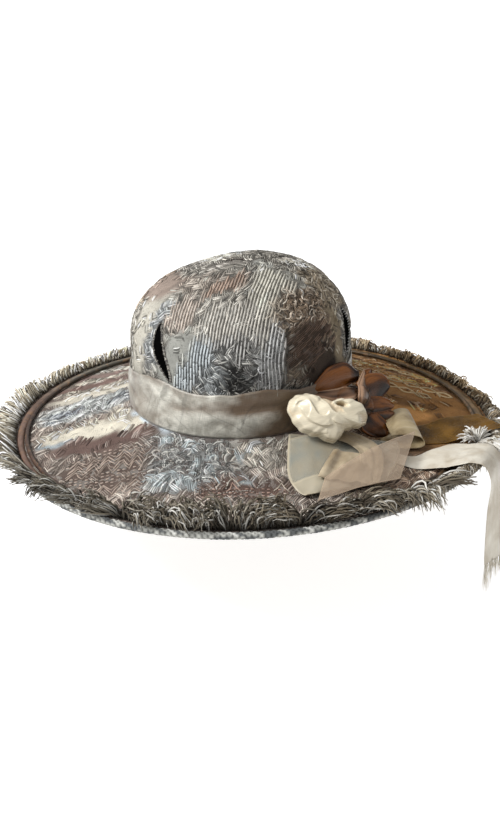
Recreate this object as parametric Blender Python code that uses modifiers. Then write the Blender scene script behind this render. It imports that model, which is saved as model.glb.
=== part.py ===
# Wide-brim hat in patchwork brocade with a frayed yarn brim, a silk band,
# two satin rosettes and a bunch of loose ribbons on the wearer's left.
# Metres, +Z up, the wearer looks along -Y. The origin is the middle of the
# head opening, level with the brim's top where the crown stands on it.
from collections import namedtuple
from math import atan2, cos, degrees, exp, hypot, pi, radians, sin
import random

import bmesh
import bpy
import numpy as np
from mathutils import Matrix, Vector

MM = 0.001
GAP = 0.3 * MM                     # between pieces that touch
REST = 0.5 * MM                    # between the brim's facets and what is sewn on it

# Crown, outer surface
CROWN_HALF_WIDTH = 88.5 * MM       # across the head, X
CROWN_HALF_LENGTH = 99.0 * MM      # front to back, Y
CROWN_WALL = 2.5 * MM
CROWN_STRAIGHT = 54.7 * MM         # upright wall under the dome
DOME_HEIGHT = 62.9 * MM
LEAN = 13.5 * MM                   # the dome's top leans to the wearer's left
LEAN_HEADING = radians(-8.0)
Sag = namedtuple("Sag", "all side at width heading")
TOP_SAG = Sag(1.0 * MM, 3.2 * MM, -38 * MM, 26 * MM, radians(25))   # most to the wearer's right
COLUMNS = 48                       # steps round the hat
DOME_ROWS = (90, 80, 69, 57, 45, 33, 21, 10)   # degrees up the dome
WALL_ROWS = (CROWN_STRAIGHT, 38 * MM, 20 * MM, GAP)

# Brim, its radius is measured along X
RIM_HALF_WIDTH = 205.3 * MM        # outer edge of the braided edging
RIM_HALF_LENGTH = 215.6 * MM
RIM_SHIFT = (9.8 * MM, 4.4 * MM)   # the brim is wider on the left and at the back
RIM_DROP = 30.5 * MM
RIM_CURVE = 1.35                   # over 1, the brim levels out towards the rim
LOWEST_SHARE = 0.86                # of the way to the rim, where it starts to turn up
RIM_TURN_UP = 2.6 * MM
RIM_WAVE = (5.1 * MM, -2.0 * MM, 2.15 * MM)   # left, back and both sides up
Dip = namedtuple("Dip", "angle width depth power")
RIM_DIP = Dip(42.0, 30.0, 9.0 * MM, 6)   # the rim's edge hangs lower here
BRIM_WALL = 2.5 * MM
BRIM_INNER = 86.0 * MM
BRIM_OUTER = 200.3 * MM
BRIM_ROWS = (BRIM_INNER, CROWN_HALF_WIDTH + 0.3 * MM, 104 * MM, 123 * MM, 144 * MM,
             163 * MM, 178 * MM, 189 * MM, BRIM_OUTER)
PIPING_RADIUS_AT = 186.2 * MM
PIPING_THICK = 4.4 * MM
BINDING_INNER = 189.2 * MM
BINDING_OUTER = 195.2 * MM
BINDING_WALL = 1.0 * MM
EDGING_WIDTH = 4.6 * MM
EDGING_HEIGHT = 6.4 * MM
EDGING_LOW = 1.9 * MM              # its middle lies this far under the brim's top

# Fold in the crown's front and two dark spindle darts
FOLD_ANGLES = (-42.5, -37.0)       # at the band and at its top
FOLD_HEIGHTS = (35 * MM, 87 * MM)
FOLD_DEPTH = 4.4 * MM
FOLD_EDGE = 2.4                    # degrees over which the recess starts
FOLD_REACH = 34.0                  # degrees over which it fades out
FOLD_FADES_FROM = 71 * MM          # height where it starts to fade out
FOLD_FADES_OVER = 24 * MM
PINCH_COLUMNS = 2                  # columns each side that draw towards the fold
PINCH_POWER = 2.2
Dart = namedtuple("Dart", "name low_angle high_angle bow low high half_width")
DARTS = (
    Dart("dart_left", -101.0, -114.0, -1.0, 40.5 * MM, 82 * MM, 4.6 * MM),
    Dart("dart_right", 12.0, 15.5, -0.5, 40.5 * MM, 79 * MM, 7.0 * MM),
)
DART_SUNK = 0.8 * MM
DART_TIP = 0.5 * MM
DART_CUT = (-4 * MM, 6 * MM)       # depths from which and to which the crown is cut

# Band: its top edge rises and falls round the crown
BandEdge = namedtuple("BandEdge", "angle top")
BAND_TOP = (
    BandEdge(-180, 32 * MM), BandEdge(-148, 30 * MM), BandEdge(-108, 40 * MM),
    BandEdge(-84, 35 * MM), BandEdge(-68, 36 * MM), BandEdge(-52, 39 * MM),
    BandEdge(-28, 34 * MM), BandEdge(10, 34 * MM), BandEdge(60, 37 * MM),
    BandEdge(120, 35 * MM), BandEdge(180, 32 * MM),
)
BandRow = namedtuple("BandRow", "share stand_off")
BAND_ROWS = (
    BandRow(1.0, 0.8 * MM), BandRow(0.78, 1.9 * MM), BandRow(0.5, 2.6 * MM),
    BandRow(0.24, 3.0 * MM), BandRow(0.0, 1.9 * MM),
)
BAND_WALL = 1.2 * MM
BAND_WAVE = 0.5 * MM               # soft folds that climb round it
BAND_WAVES = 5
BAND_FOOT = -0.2 * MM

# Fringe: where the tips of its upper and lower locks lie from the header
FringeRow = namedtuple("FringeRow", "angle upper_out upper_up lower_out lower_up")
FRINGE_ROWS = (
    FringeRow(-155, 25 * MM, 9 * MM, 31 * MM, -2 * MM),
    FringeRow(-120, 17 * MM, 12 * MM, 25 * MM, 0 * MM),
    FringeRow(-95, -4 * MM, 22 * MM, 11 * MM, 7 * MM),
    FringeRow(-65, -15 * MM, 25 * MM, 5 * MM, 10 * MM),
    FringeRow(-42, -6 * MM, 20 * MM, 9 * MM, 7 * MM),
    FringeRow(-24, 17 * MM, 10 * MM, 25 * MM, 1 * MM),
    FringeRow(-14, 5 * MM, 2.2 * MM, 8 * MM, -1 * MM),
    FringeRow(25, 5 * MM, 2.2 * MM, 9 * MM, -1 * MM),
    FringeRow(42, 5 * MM, 3 * MM, 11 * MM, -1 * MM),
    FringeRow(75, 4 * MM, 5 * MM, 9 * MM, 0 * MM),
    FringeRow(115, 4 * MM, 7 * MM, 9 * MM, 2 * MM),
    FringeRow(160, 6 * MM, 6 * MM, 12 * MM, 0 * MM),
    FringeRow(180, 15 * MM, 9 * MM, 23 * MM, 0 * MM),
)
LOCKS = 72
LOCK_VALLEY = 0.36                 # of a lock's length, where two locks part
LOCK_LENGTHS = (0.82, 1.0)
LOCK_SWEEP = (-0.4, 0.9)           # degrees round the hat
HEADER_INNER = 195.6 * MM
# Section from the header's inner top round the outer side; reach and rise are
# shares of what the table above gives for the point's tier
FringePoint = namedtuple("FringePoint", "out up tier reach rise")
FRINGE_SECTION = (
    FringePoint(0.0, 2.2 * MM, "lower", 0.0, 0.0),
    FringePoint(1.6 * MM, 3.4 * MM, "upper", 0.0, 0.0),
    FringePoint(3.2 * MM, 4.0 * MM, "upper", 1.0, 1.0),
    FringePoint(5.0 * MM, 3.2 * MM, "lower", 0.15, 0.0),
    FringePoint(6.0 * MM, 3.1 * MM, "lower", 1.0, 1.0),
    FringePoint(5.6 * MM, 2.3 * MM, "lower", 0.0, 0.0),
    FringePoint(4.2 * MM, REST, "lower", 0.0, 0.0),
    FringePoint(0.0, REST, "lower", 0.0, 0.0),
)

# Ribbon bunch: stations along each ribbon's middle line, lift is over the brim
Station = namedtuple("Station", "x y lift half side tilt")
RIBBON_WALL = 1.0 * MM
KNOT_AT = (112 * MM, -47 * MM)
KNOT_SIZE = (8 * MM, 7 * MM, 3.2 * MM)
KNOT_LIFT = 3.0 * MM               # over the organza that it holds down
CREAM_AT = (103 * MM, -58 * MM, 15.4 * MM)
CREAM_SIZE = (33 * MM, 20 * MM, 18.5 * MM)
CREAM_HEADING = radians(48)
Ridge = namedtuple("Ridge", "height around along")
CREAM_RIDGES = (Ridge(0.09, 3, 7.0), Ridge(0.05, 5, -4.0))   # shares of the radius
BROWN_AT = (107 * MM, -19 * MM, 13.5 * MM)
BROWN_HEADING = radians(-30)
BROWN_RISE = radians(25)
Petal = namedtuple("Petal", "turn length width cup lift")
BROWN_PETALS = (
    Petal(146, 38 * MM, 20 * MM, 7 * MM, 2.0 * MM), Petal(97, 31 * MM, 26 * MM, 5 * MM, 1.0 * MM),
    Petal(55, 30 * MM, 24 * MM, 6 * MM, 3.0 * MM), Petal(14, 36 * MM, 25 * MM, 7 * MM, 0.0),
    Petal(-24, 33 * MM, 24 * MM, 7 * MM, 2.0 * MM), Petal(-62, 26 * MM, 20 * MM, 9 * MM, 3.0 * MM),
)
PETAL_WALL = 1.8 * MM
PETAL_ROOT = 2 * MM                # a petal starts this far behind the middle
HEART_RADIUS = 8 * MM

ORGANZA_LOOP = (
    Station(111, -38, 1.0, 43, 35, 0), Station(117, -56, 1.0, 45, 37, 0),
    Station(124, -75, 1.0, 44, 40, 0), Station(131, -91, 1.2, 38, 44, 0),
    Station(136, -100, 2.6, 33, 46, 0), Station(136, -100, 6.2, 33, 46, 0),
    Station(131, -90, 8.4, 37, 44, 0), Station(125, -76, 9.0, 40, 41, 0),
)
ORGANZA_POINT = (
    Station(124, -123, 10.0, 1.5, -50, 0), Station(130, -111, 11.4, 8, -50, 0),
    Station(141, -90, 14.6, 13, -40, 0), Station(151, -62, 14.6, 14, -22, 0),
    Station(156, -36, 12.4, 11, -8, 0), Station(157, -10, 10.2, 2, 2, 0),
)
SILK_SWATH = (
    Station(118, -68, 11.2, 5, 75, 0), Station(126, -73, 11.6, 8, 68, 2),
    Station(134, -77, 11.0, 10, 50, 2), Station(140, -84, 10.1, 10, 28, 0),
    Station(142, -94, 7.9, 8, 12, 0),
)
BOW_LOOP = (
    Station(136, -26, 2.6, 7, 122, 0), Station(144, -11, 2.8, 12, 126, 0),
    Station(151, 2, 4.4, 16, 128, 6), Station(154, 9, 8.0, 17, 130, 12),
    Station(150, 9, 13.0, 17, 132, 12), Station(142, -1, 14.5, 15, 130, 8),
    Station(136, -13, 11.0, 10, 126, 4),
)
SILK_TAIL = (
    Station(125, -49, 2.4, 4, 100, 0), Station(137, -42, 2.4, 5, 102, 0),
    Station(152, -37, 2.4, 7, 106, 0), Station(167, -31, 1.6, 10, 112, 0),
    Station(182, -21, 6.0, 17, 114, 0), Station(196, -15, 7.6, 23, 110, 0),
    Station(209, -12, 8.6, 23, 104, 0), Station(220, -10, 6.6, 22, 98, 0),
    Station(228, -9, -6.0, 21, 90, 0), Station(230, -8, -32, 21, 81, 0),
    Station(231, -8, -62, 21, 76, 0), Station(231, -8, -92, 20, 76, 0),
)
SHEER_TAIL = (
    Station(155, 19, 0.8, 9, 141, 0), Station(163, 29, 0.8, 13, 141, 0),
    Station(174, 43, 5.2, 17, 142, 0), Station(186, 59, 6.4, 19, 143, 0),
    Station(197, 71, 8.2, 19, 143, 0),
)
TUFT_AT = (200 * MM, 26 * MM)
TUFT_SIZE = (10 * MM, 10 * MM, 5.5 * MM)
TUFT_SPIKES = 10
TUFT_VALLEY = 0.42                 # share of the radius lost between two spikes

COLOURS = {
    "crown": ((0.24, 0.22, 0.20), 0.9), "brim": ((0.22, 0.19, 0.17), 0.9),
    "dart": ((0.004, 0.004, 0.005), 0.95), "band": ((0.42, 0.38, 0.31), 0.45),
    "brown_satin": ((0.12, 0.065, 0.04), 0.4), "edging": ((0.35, 0.35, 0.32), 0.85),
    "yarn": ((0.27, 0.25, 0.21), 0.85), "cream_satin": ((0.85, 0.78, 0.66), 0.4),
    "organza": ((0.55, 0.49, 0.40), 0.4), "white_yarn": ((0.75, 0.74, 0.70), 0.85),
}


def clear_scene():
    for obj in list(bpy.data.objects):
        bpy.data.objects.remove(obj, do_unlink=True)


def make_collection(name):
    collection = bpy.data.collections.new(name)
    bpy.context.scene.collection.children.link(collection)
    return collection


def make_material(name, colour_key):
    colour, roughness = COLOURS[colour_key]
    material = bpy.data.materials.new(name)
    material.use_nodes = True
    shader = material.node_tree.nodes["Principled BSDF"]
    shader.inputs["Base Color"].default_value = (*colour, 1.0)
    shader.inputs["Roughness"].default_value = roughness
    shader.inputs["Metallic"].default_value = 0.0
    material.diffuse_color = (*colour, 1.0)
    return material


def add_object(name, bm, collection, colour_key=None):
    """Make an object of a bmesh, which is freed"""
    mesh = bpy.data.meshes.new(name)
    bm.to_mesh(mesh)
    bm.free()
    obj = bpy.data.objects.new(name, mesh)
    collection.objects.link(obj)
    if colour_key:
        mesh.materials.append(make_material(name, colour_key))
        mesh.shade_smooth()
    return obj


def evaluated_bmesh(obj):
    """Bmesh of an object with its modifiers applied; the object is removed"""
    graph = bpy.context.evaluated_depsgraph_get()
    mesh = bpy.data.meshes.new_from_object(obj.evaluated_get(graph))
    bm = bmesh.new()
    bm.from_mesh(mesh)
    bpy.data.meshes.remove(mesh)
    bpy.data.objects.remove(obj, do_unlink=True)
    return bm


def turned(profile, closed, columns=COLUMNS):
    """Bmesh of a profile of (radius, height) turned once about Z"""
    bm = bmesh.new()
    verts = [bm.verts.new((radius, 0.0, height)) for radius, height in profile]
    for first, second in zip(verts, verts[1:]):
        bm.edges.new((first, second))
    if closed:
        bm.edges.new((verts[-1], verts[0]))
    obj = add_object("profile", bm, bpy.context.scene.collection)
    screw = obj.modifiers.new("turn", "SCREW")
    screw.steps = columns
    screw.render_steps = columns
    screw.use_merge_vertices = True
    screw.merge_threshold = 0.00005
    bm = evaluated_bmesh(obj)
    bmesh.ops.remove_doubles(bm, verts=bm.verts, dist=0.00001)
    return bm


def solidify(obj, thickness, offset):
    wall = obj.modifiers.new("wall", "SOLIDIFY")
    wall.thickness = thickness
    wall.offset = offset
    wall.use_even_offset = True


def smooth_step(value):
    value = min(1.0, max(0.0, value))
    return value * value * (3.0 - 2.0 * value)


def between(rows, angle, column):
    """Value of a table's column at an angle, smooth between its rows"""
    angle = (angle + 180.0) % 360.0 - 180.0
    ordered = sorted(rows, key=lambda row: row.angle)
    wrapped = [ordered[-1]] + ordered + [ordered[0]]
    starts = [row.angle for row in wrapped]
    starts[0] -= 360.0
    starts[-1] += 360.0
    for index in range(len(wrapped) - 1):
        if starts[index] <= angle <= starts[index + 1] and starts[index] < starts[index + 1]:
            share = (angle - starts[index]) / (starts[index + 1] - starts[index])
            low = getattr(wrapped[index], column)
            high = getattr(wrapped[index + 1], column)
            return low + (high - low) * smooth_step(share)
    return getattr(ordered[0], column)


# Brim surface

def brim_share(radius):
    """0 at the crown's outer surface, 1 at the rim"""
    return max(0.0, (radius - CROWN_HALF_WIDTH) / (RIM_HALF_WIDTH - CROWN_HALF_WIDTH))


def brim_point(radius, angle, lift):
    """Point over the brim's top, at a radius measured along X and an angle of its oval"""
    share = brim_share(radius)
    if radius < CROWN_HALF_WIDTH:
        half_length = radius * CROWN_HALF_LENGTH / CROWN_HALF_WIDTH
    else:
        half_length = CROWN_HALF_LENGTH + share * (RIM_HALF_LENGTH - CROWN_HALF_LENGTH)
    level = 1.0 - min(share / LOWEST_SHARE, 1.0)
    turn_up = max(0.0, min(share, 1.0) - LOWEST_SHARE) / (1.0 - LOWEST_SHARE)
    drop = RIM_DROP * (1.0 - level ** RIM_CURVE) - RIM_TURN_UP * turn_up
    left, back, sides = RIM_WAVE
    wave = left * cos(angle) + back * sin(angle) + sides * cos(2.0 * angle)
    turned = (degrees(angle) - RIM_DIP.angle + 180.0) % 360.0 - 180.0
    dip = RIM_DIP.depth * exp(-(turned / RIM_DIP.width) ** 2) * min(share, 1.0) ** RIM_DIP.power
    x = RIM_SHIFT[0] * share + radius * cos(angle)
    y = RIM_SHIFT[1] * share + half_length * sin(angle)
    return Vector((x, y, lift - drop - dip + wave * min(share, 1.0) ** 2))


def brim_top(x, y):
    """Height of the brim's top under a point, level beyond the rim"""
    low, high = CROWN_HALF_WIDTH, RIM_HALF_WIDTH
    for _ in range(30):
        radius = 0.5 * (low + high)
        share = brim_share(radius)
        half_length = CROWN_HALF_LENGTH + share * (RIM_HALF_LENGTH - CROWN_HALF_LENGTH)
        across = (x - RIM_SHIFT[0] * share) / radius
        along = (y - RIM_SHIFT[1] * share) / half_length
        if hypot(across, along) > 1.0:
            low = radius
        else:
            high = radius
    return brim_point(radius, atan2(along, across), 0.0).z


def lay_on_brim(bm):
    """Bend a turned bmesh, whose heights are lifts, onto the brim"""
    for vert in bm.verts:
        radius = hypot(vert.co.x, vert.co.y)
        angle = atan2(vert.co.y, vert.co.x)
        vert.co = brim_point(radius, angle, vert.co.z)


# Crown surface

def fold_angle(height):
    low, high = FOLD_HEIGHTS
    share = min(1.2, max(-0.4, (height - low) / (high - low)))
    return FOLD_ANGLES[0] + share * (FOLD_ANGLES[1] - FOLD_ANGLES[0])


def pinch_to_fold(angle, height):
    """Draw the nearest columns together along the fold"""
    distance = degrees(angle) - fold_angle(height)
    distance = (distance + 180.0) % 360.0 - 180.0
    reach = PINCH_COLUMNS * 360.0 / COLUMNS
    if abs(distance) >= reach:
        return angle
    squeezed = distance * abs(distance / reach) ** (PINCH_POWER - 1.0)
    return radians(fold_angle(height) + squeezed)


def fold_recess(angle, height):
    """Depth of the recess behind the fold, on the wearer's left of it"""
    distance = degrees(angle) - fold_angle(height)
    distance = (distance + 180.0) % 360.0 - 180.0
    edge = smooth_step(distance / FOLD_EDGE + 0.5)
    fade = 1.0 - smooth_step(distance / FOLD_REACH)
    rise = 1.0 - smooth_step((height - FOLD_FADES_FROM) / FOLD_FADES_OVER)
    return FOLD_DEPTH * edge * fade * rise


def crown_point(angle, height, depth=0.0):
    """Point on the crown's outer surface or at a depth under it"""
    dome = max(0.0, (height - CROWN_STRAIGHT) / DOME_HEIGHT)
    dome = min(dome, 1.0)
    narrow = max(0.0, 1.0 - dome * dome) ** 0.5
    inward = depth + fold_recess(angle, height)
    shift = LEAN * dome ** 4
    x = (CROWN_HALF_WIDTH * narrow - inward * narrow) * cos(angle)
    y = (CROWN_HALF_LENGTH * narrow - inward * narrow) * sin(angle)
    x += shift * cos(LEAN_HEADING)
    y += shift * sin(LEAN_HEADING)
    across = x * cos(TOP_SAG.heading) + y * sin(TOP_SAG.heading)
    side = TOP_SAG.side * exp(-((across - TOP_SAG.at) / TOP_SAG.width) ** 2)
    return Vector((x, y, height - depth * dome - (TOP_SAG.all + side) * dome * dome))


def make_crown(parts, tools):
    rows = [CROWN_STRAIGHT + DOME_HEIGHT * sin(radians(angle)) for angle in DOME_ROWS]
    profile = []
    for height in (*rows, *WALL_ROWS):
        dome = max(0.0, (height - CROWN_STRAIGHT) / DOME_HEIGHT)
        profile.append((CROWN_HALF_WIDTH * max(0.0, 1.0 - dome * dome) ** 0.5, height))
    bm = turned(profile, closed=False)
    for vert in bm.verts:
        angle = atan2(vert.co.y, vert.co.x)
        if hypot(vert.co.x, vert.co.y) > 1 * MM:
            angle = pinch_to_fold(angle, vert.co.z)
        vert.co = crown_point(angle, vert.co.z)
    crown = add_object("crown", bm, parts, "crown")
    solidify(crown, CROWN_WALL, -1.0)
    for dart in DARTS:
        outside, inside = DART_CUT
        cutter = add_object("cut_" + dart.name, dart_bmesh(dart, GAP, inside, outside), tools)
        cutter.hide_render = True
        cutter.display_type = "WIRE"
        cut = crown.modifiers.new(cutter.name, "BOOLEAN")
        cut.operation = "DIFFERENCE"
        cut.solver = "EXACT"
        cut.object = cutter


def dart_bmesh(dart, grow, inner_depth, outer_depth):
    """Spindle between two depths under the crown's surface, wider by grow"""
    bm = bmesh.new()
    bmesh.ops.create_cube(bm, size=1.0)
    for index in range(1, 8):
        geom = bm.verts[:] + bm.edges[:] + bm.faces[:]
        bmesh.ops.bisect_plane(bm, geom=geom, dist=1e-6, plane_co=(0, 0, index / 8 - 0.5),
                               plane_no=(0, 0, 1))
    for vert in bm.verts:
        share = vert.co.z + 0.5
        middle = dart.low_angle + share * (dart.high_angle - dart.low_angle)
        middle += dart.bow * sin(pi * share)
        width = DART_TIP + (dart.half_width - DART_TIP) * sin(pi * share) ** 0.8 + grow
        height = dart.low - grow + share * (dart.high - dart.low + 2 * grow)
        depth = inner_depth if vert.co.y > 0 else outer_depth
        angle = radians(middle) + (1 if vert.co.x > 0 else -1) * width / CROWN_HALF_WIDTH
        vert.co = crown_point(angle, height, depth)
    return bm


def make_darts(parts):
    for dart in DARTS:
        bm = dart_bmesh(dart, 0.0, CROWN_WALL - 0.2 * MM, DART_SUNK)
        add_object(dart.name, bm, parts, "dart")


def make_band(parts):
    profile = [(CROWN_HALF_WIDTH, row.share) for row in BAND_ROWS]
    bm = turned(profile, closed=False)
    for vert in bm.verts:
        share = vert.co.z
        angle = atan2(vert.co.y, vert.co.x)
        top = between(BAND_TOP, degrees(angle), "top")
        height = BAND_FOOT + share * (top - BAND_FOOT)
        stand_off = np.interp(share, [row.share for row in reversed(BAND_ROWS)],
                              [row.stand_off for row in reversed(BAND_ROWS)])
        stand_off += BAND_WAVE * sin(pi * share) * sin(BAND_WAVES * angle + 4.0 * share)
        x = (CROWN_HALF_WIDTH + stand_off) * cos(angle)
        y = (CROWN_HALF_LENGTH + stand_off) * sin(angle)
        vert.co = (x, y, height)
    band = add_object("hat_band", bm, parts, "band")
    solidify(band, BAND_WALL, 1.0)


def make_brim(parts):
    bm = turned([(radius, 0.0) for radius in BRIM_ROWS], closed=False)
    lay_on_brim(bm)
    brim = add_object("brim", bm, parts, "brim")
    solidify(brim, BRIM_WALL, -1.0)


def round_section(radius, lift, half_width, half_height, sides):
    """Closed section about a radius and a lift, from its top round the outer side"""
    angles = [pi / 2 - 2 * pi * index / sides for index in range(sides)]
    return [(radius + half_width * cos(angle), lift + half_height * sin(angle))
            for angle in angles]


def make_rim_trim(parts):
    half = PIPING_THICK / 2
    bm = turned(round_section(PIPING_RADIUS_AT, half + REST, half, half, 6), closed=True)
    lay_on_brim(bm)
    add_object("brim_piping", bm, parts, "brown_satin")

    low, high = REST, REST + BINDING_WALL
    section = [(BINDING_INNER, high), (BINDING_OUTER, high), (BINDING_OUTER, low),
               (BINDING_INNER, low)]
    bm = turned(section, closed=True)
    lay_on_brim(bm)
    add_object("brim_binding", bm, parts, "brown_satin")

    radius = BRIM_OUTER + GAP + EDGING_WIDTH / 2
    section = round_section(radius, -EDGING_LOW, EDGING_WIDTH / 2, EDGING_HEIGHT / 2, 6)
    bm = turned(section, closed=True)
    lay_on_brim(bm)
    add_object("rim_edging", bm, parts, "edging")


def make_fringe(parts):
    """Header strip with two tiers of pointed locks, all one body"""
    section = [(HEADER_INNER + MM * index, 1.0) for index in range(len(FRINGE_SECTION))]
    columns = 2 * LOCKS
    bm = turned(section, closed=True, columns=columns)
    dice = random.Random(11)
    lengths = [dice.uniform(*LOCK_LENGTHS) for _ in range(columns)]
    sweep = [dice.uniform(*LOCK_SWEEP) for _ in range(columns)]
    for vert in bm.verts:
        angle = atan2(vert.co.y, vert.co.x)
        column = round(degrees(angle) % 360.0 * columns / 360.0) % columns
        point = FRINGE_SECTION[round((hypot(vert.co.x, vert.co.y) - HEADER_INNER) / MM)]
        # the two tiers have their tips at alternate columns
        at_tip = (column % 2 == 1) == (point.tier == "upper")
        share = lengths[column] * (1.0 if at_tip else LOCK_VALLEY)
        out = share * point.reach * between(FRINGE_ROWS, degrees(angle), point.tier + "_out")
        up = share * point.rise * between(FRINGE_ROWS, degrees(angle), point.tier + "_up")
        if point.reach == 1.0:
            angle += radians(sweep[column])
        vert.co = brim_point(HEADER_INNER + point.out + out, angle, point.up + up)
    add_object("fringe", bm, parts, "yarn")


# Ribbons

def catmull_rom(values, steps):
    """Smooth path through rows of numbers, with steps between each two"""
    values = np.array(values, dtype=float)
    padded = np.vstack([2 * values[0] - values[1], values, 2 * values[-1] - values[-2]])
    result = []
    for index in range(1, len(padded) - 2):
        a, b, c, d = padded[index - 1:index + 3]
        for step in range(steps):
            t = step / steps
            result.append(0.5 * (2 * b + (c - a) * t + (2 * a - 5 * b + 4 * c - d) * t ** 2
                                 + (3 * b - 3 * c + d - a) * t ** 3))
    result.append(values[-1])
    return np.array(result)


def make_ribbon(name, stations, colour_key, parts, steps=2, cells=4, fold=0.0):
    """Thin strip along stations in millimetres, waved across by fold millimetres"""
    path = catmull_rom([tuple(spot) for spot in stations], steps)
    bm = bmesh.new()
    count = len(path)
    bmesh.ops.create_grid(bm, x_segments=count - 1, y_segments=cells, size=0.5)
    for vert in bm.verts:
        x, y, lift, half, side, tilt = path[round((vert.co.x + 0.5) * (count - 1))]
        across = 2.0 * vert.co.y * half
        x += across * cos(radians(side)) * cos(radians(tilt))
        y += across * sin(radians(side)) * cos(radians(tilt))
        lift += across * sin(radians(tilt)) + fold * cos(2.0 * pi * across / half)
        vert.co = (x * MM, y * MM, brim_top(x * MM, y * MM) + lift * MM)
    ribbon = add_object(name, bm, parts, colour_key)
    solidify(ribbon, RIBBON_WALL, 1.0)


def make_ribbons(parts):
    make_ribbon("organza_loop", ORGANZA_LOOP, "organza", parts)
    make_ribbon("organza_point", ORGANZA_POINT, "organza", parts, cells=2)
    make_ribbon("silk_swath", SILK_SWATH, "cream_satin", parts, fold=0.8)
    make_ribbon("bow_loop", BOW_LOOP, "band", parts)
    make_ribbon("silk_tail", SILK_TAIL, "cream_satin", parts)
    make_ribbon("sheer_tail", SHEER_TAIL, "organza", parts)

    bm = bmesh.new()
    bmesh.ops.create_uvsphere(bm, u_segments=10, v_segments=6, radius=1.0)
    lift = brim_top(*KNOT_AT) + KNOT_LIFT + KNOT_SIZE[2]
    place = Matrix.Translation((*KNOT_AT, lift)) @ Matrix.Diagonal((*KNOT_SIZE, 1.0))
    bmesh.ops.transform(bm, matrix=place, verts=bm.verts)
    add_object("ribbon_knot", bm, parts, "cream_satin")


def make_cream_rosette(parts):
    """Rolled satin bloom: a flattened ball with wound petal ridges"""
    bm = bmesh.new()
    bmesh.ops.create_uvsphere(bm, u_segments=24, v_segments=14, radius=1.0)
    for vert in bm.verts:
        around = atan2(vert.co.y, vert.co.x)
        ring = hypot(vert.co.x, vert.co.y)
        size = 1.0
        for ridge in CREAM_RIDGES:
            size += ridge.height * ring * sin(ridge.around * around + ridge.along * vert.co.z)
        vert.co = (vert.co.x * size, vert.co.y * min(size, 1.0), vert.co.z * min(size, 1.0))
    place = (Matrix.Translation(CREAM_AT) @ Matrix.Rotation(CREAM_HEADING, 4, "Z")
             @ Matrix.Diagonal((*CREAM_SIZE, 1.0)))
    bmesh.ops.transform(bm, matrix=place, verts=bm.verts)
    add_object("cream_rosette", bm, parts, "cream_satin")


def petal_bmesh(petal):
    """Cupped leaf from the flower's middle outwards along +X, +Z to the viewer"""
    bm = bmesh.new()
    bmesh.ops.create_grid(bm, x_segments=5, y_segments=2, size=0.5)
    for vert in bm.verts:
        along = vert.co.x + 0.5
        across = 2.0 * vert.co.y
        half = petal.width / 2 * sin(pi * (0.12 + 0.8 * along)) ** 0.7
        cup = petal.cup * (along ** 2 - 0.35 * along) - 0.22 * petal.cup * across * across
        vert.co = (petal.length * along - PETAL_ROOT, half * across, petal.lift + cup)
    bmesh.ops.solidify(bm, geom=bm.faces[:], thickness=PETAL_WALL)
    bmesh.ops.recalc_face_normals(bm, faces=bm.faces)
    bmesh.ops.rotate(bm, cent=(0, 0, 0), matrix=Matrix.Rotation(radians(petal.turn), 3, "Z"),
                     verts=bm.verts)
    return bm


def make_brown_rosette(parts, tools):
    """Leaf petals united with a round heart"""
    outward = Vector((cos(BROWN_HEADING) * cos(BROWN_RISE), sin(BROWN_HEADING) * cos(BROWN_RISE),
                      sin(BROWN_RISE)))
    right = Vector((-sin(BROWN_HEADING), cos(BROWN_HEADING), 0.0))
    up = outward.cross(right)
    place = Matrix((right, up, outward)).transposed().to_4x4()
    place.translation = BROWN_AT
    bm = bmesh.new()
    bmesh.ops.create_uvsphere(bm, u_segments=12, v_segments=8, radius=HEART_RADIUS)
    bmesh.ops.transform(bm, matrix=place, verts=bm.verts)
    rosette = add_object("brown_rosette", bm, parts, "brown_satin")
    for number, petal in enumerate(BROWN_PETALS):
        bm = petal_bmesh(petal)
        bmesh.ops.transform(bm, matrix=place, verts=bm.verts)
        tool = add_object("petal_%d" % number, bm, tools)
        tool.hide_render = True
        tool.display_type = "WIRE"
        join = rosette.modifiers.new(tool.name, "BOOLEAN")
        join.operation = "UNION"
        join.solver = "EXACT"
        join.object = tool


def make_tuft(parts):
    """Burst of yarn ends on the rim beside the long ribbon"""
    bm = bmesh.new()
    bmesh.ops.create_uvsphere(bm, u_segments=20, v_segments=8, radius=1.0)
    for vert in bm.verts:
        around = atan2(vert.co.y, vert.co.x)
        ring = hypot(vert.co.x, vert.co.y)
        spike = 1.0 - TUFT_VALLEY * ring * (0.5 + 0.5 * cos(TUFT_SPIKES * around))
        vert.co = (vert.co.x * spike, vert.co.y * spike, vert.co.z)
    lift = brim_top(*TUFT_AT) + PIPING_THICK + GAP + TUFT_SIZE[2]
    place = Matrix.Translation((*TUFT_AT, lift)) @ Matrix.Diagonal((*TUFT_SIZE, 1.0))
    bmesh.ops.transform(bm, matrix=place, verts=bm.verts)
    add_object("yarn_tuft", bm, parts, "white_yarn")


def main():
    clear_scene()
    parts = make_collection("wide_brim_hat")
    tools = make_collection("cutters")
    make_crown(parts, tools)
    make_darts(parts)
    make_band(parts)
    make_brim(parts)
    make_rim_trim(parts)
    make_fringe(parts)
    make_ribbons(parts)
    make_cream_rosette(parts)
    make_brown_rosette(parts, tools)
    make_tuft(parts)


main()
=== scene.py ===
# Wide-brim brocade hat with a yarn fringe, a silk band, two rosettes and loose ribbons.
# Numbers are in millimetres and degrees unless a line says otherwise.
from math import cos, radians, sin
import random

import bmesh
import bpy
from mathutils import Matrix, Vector, noise
import numpy as np


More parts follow.
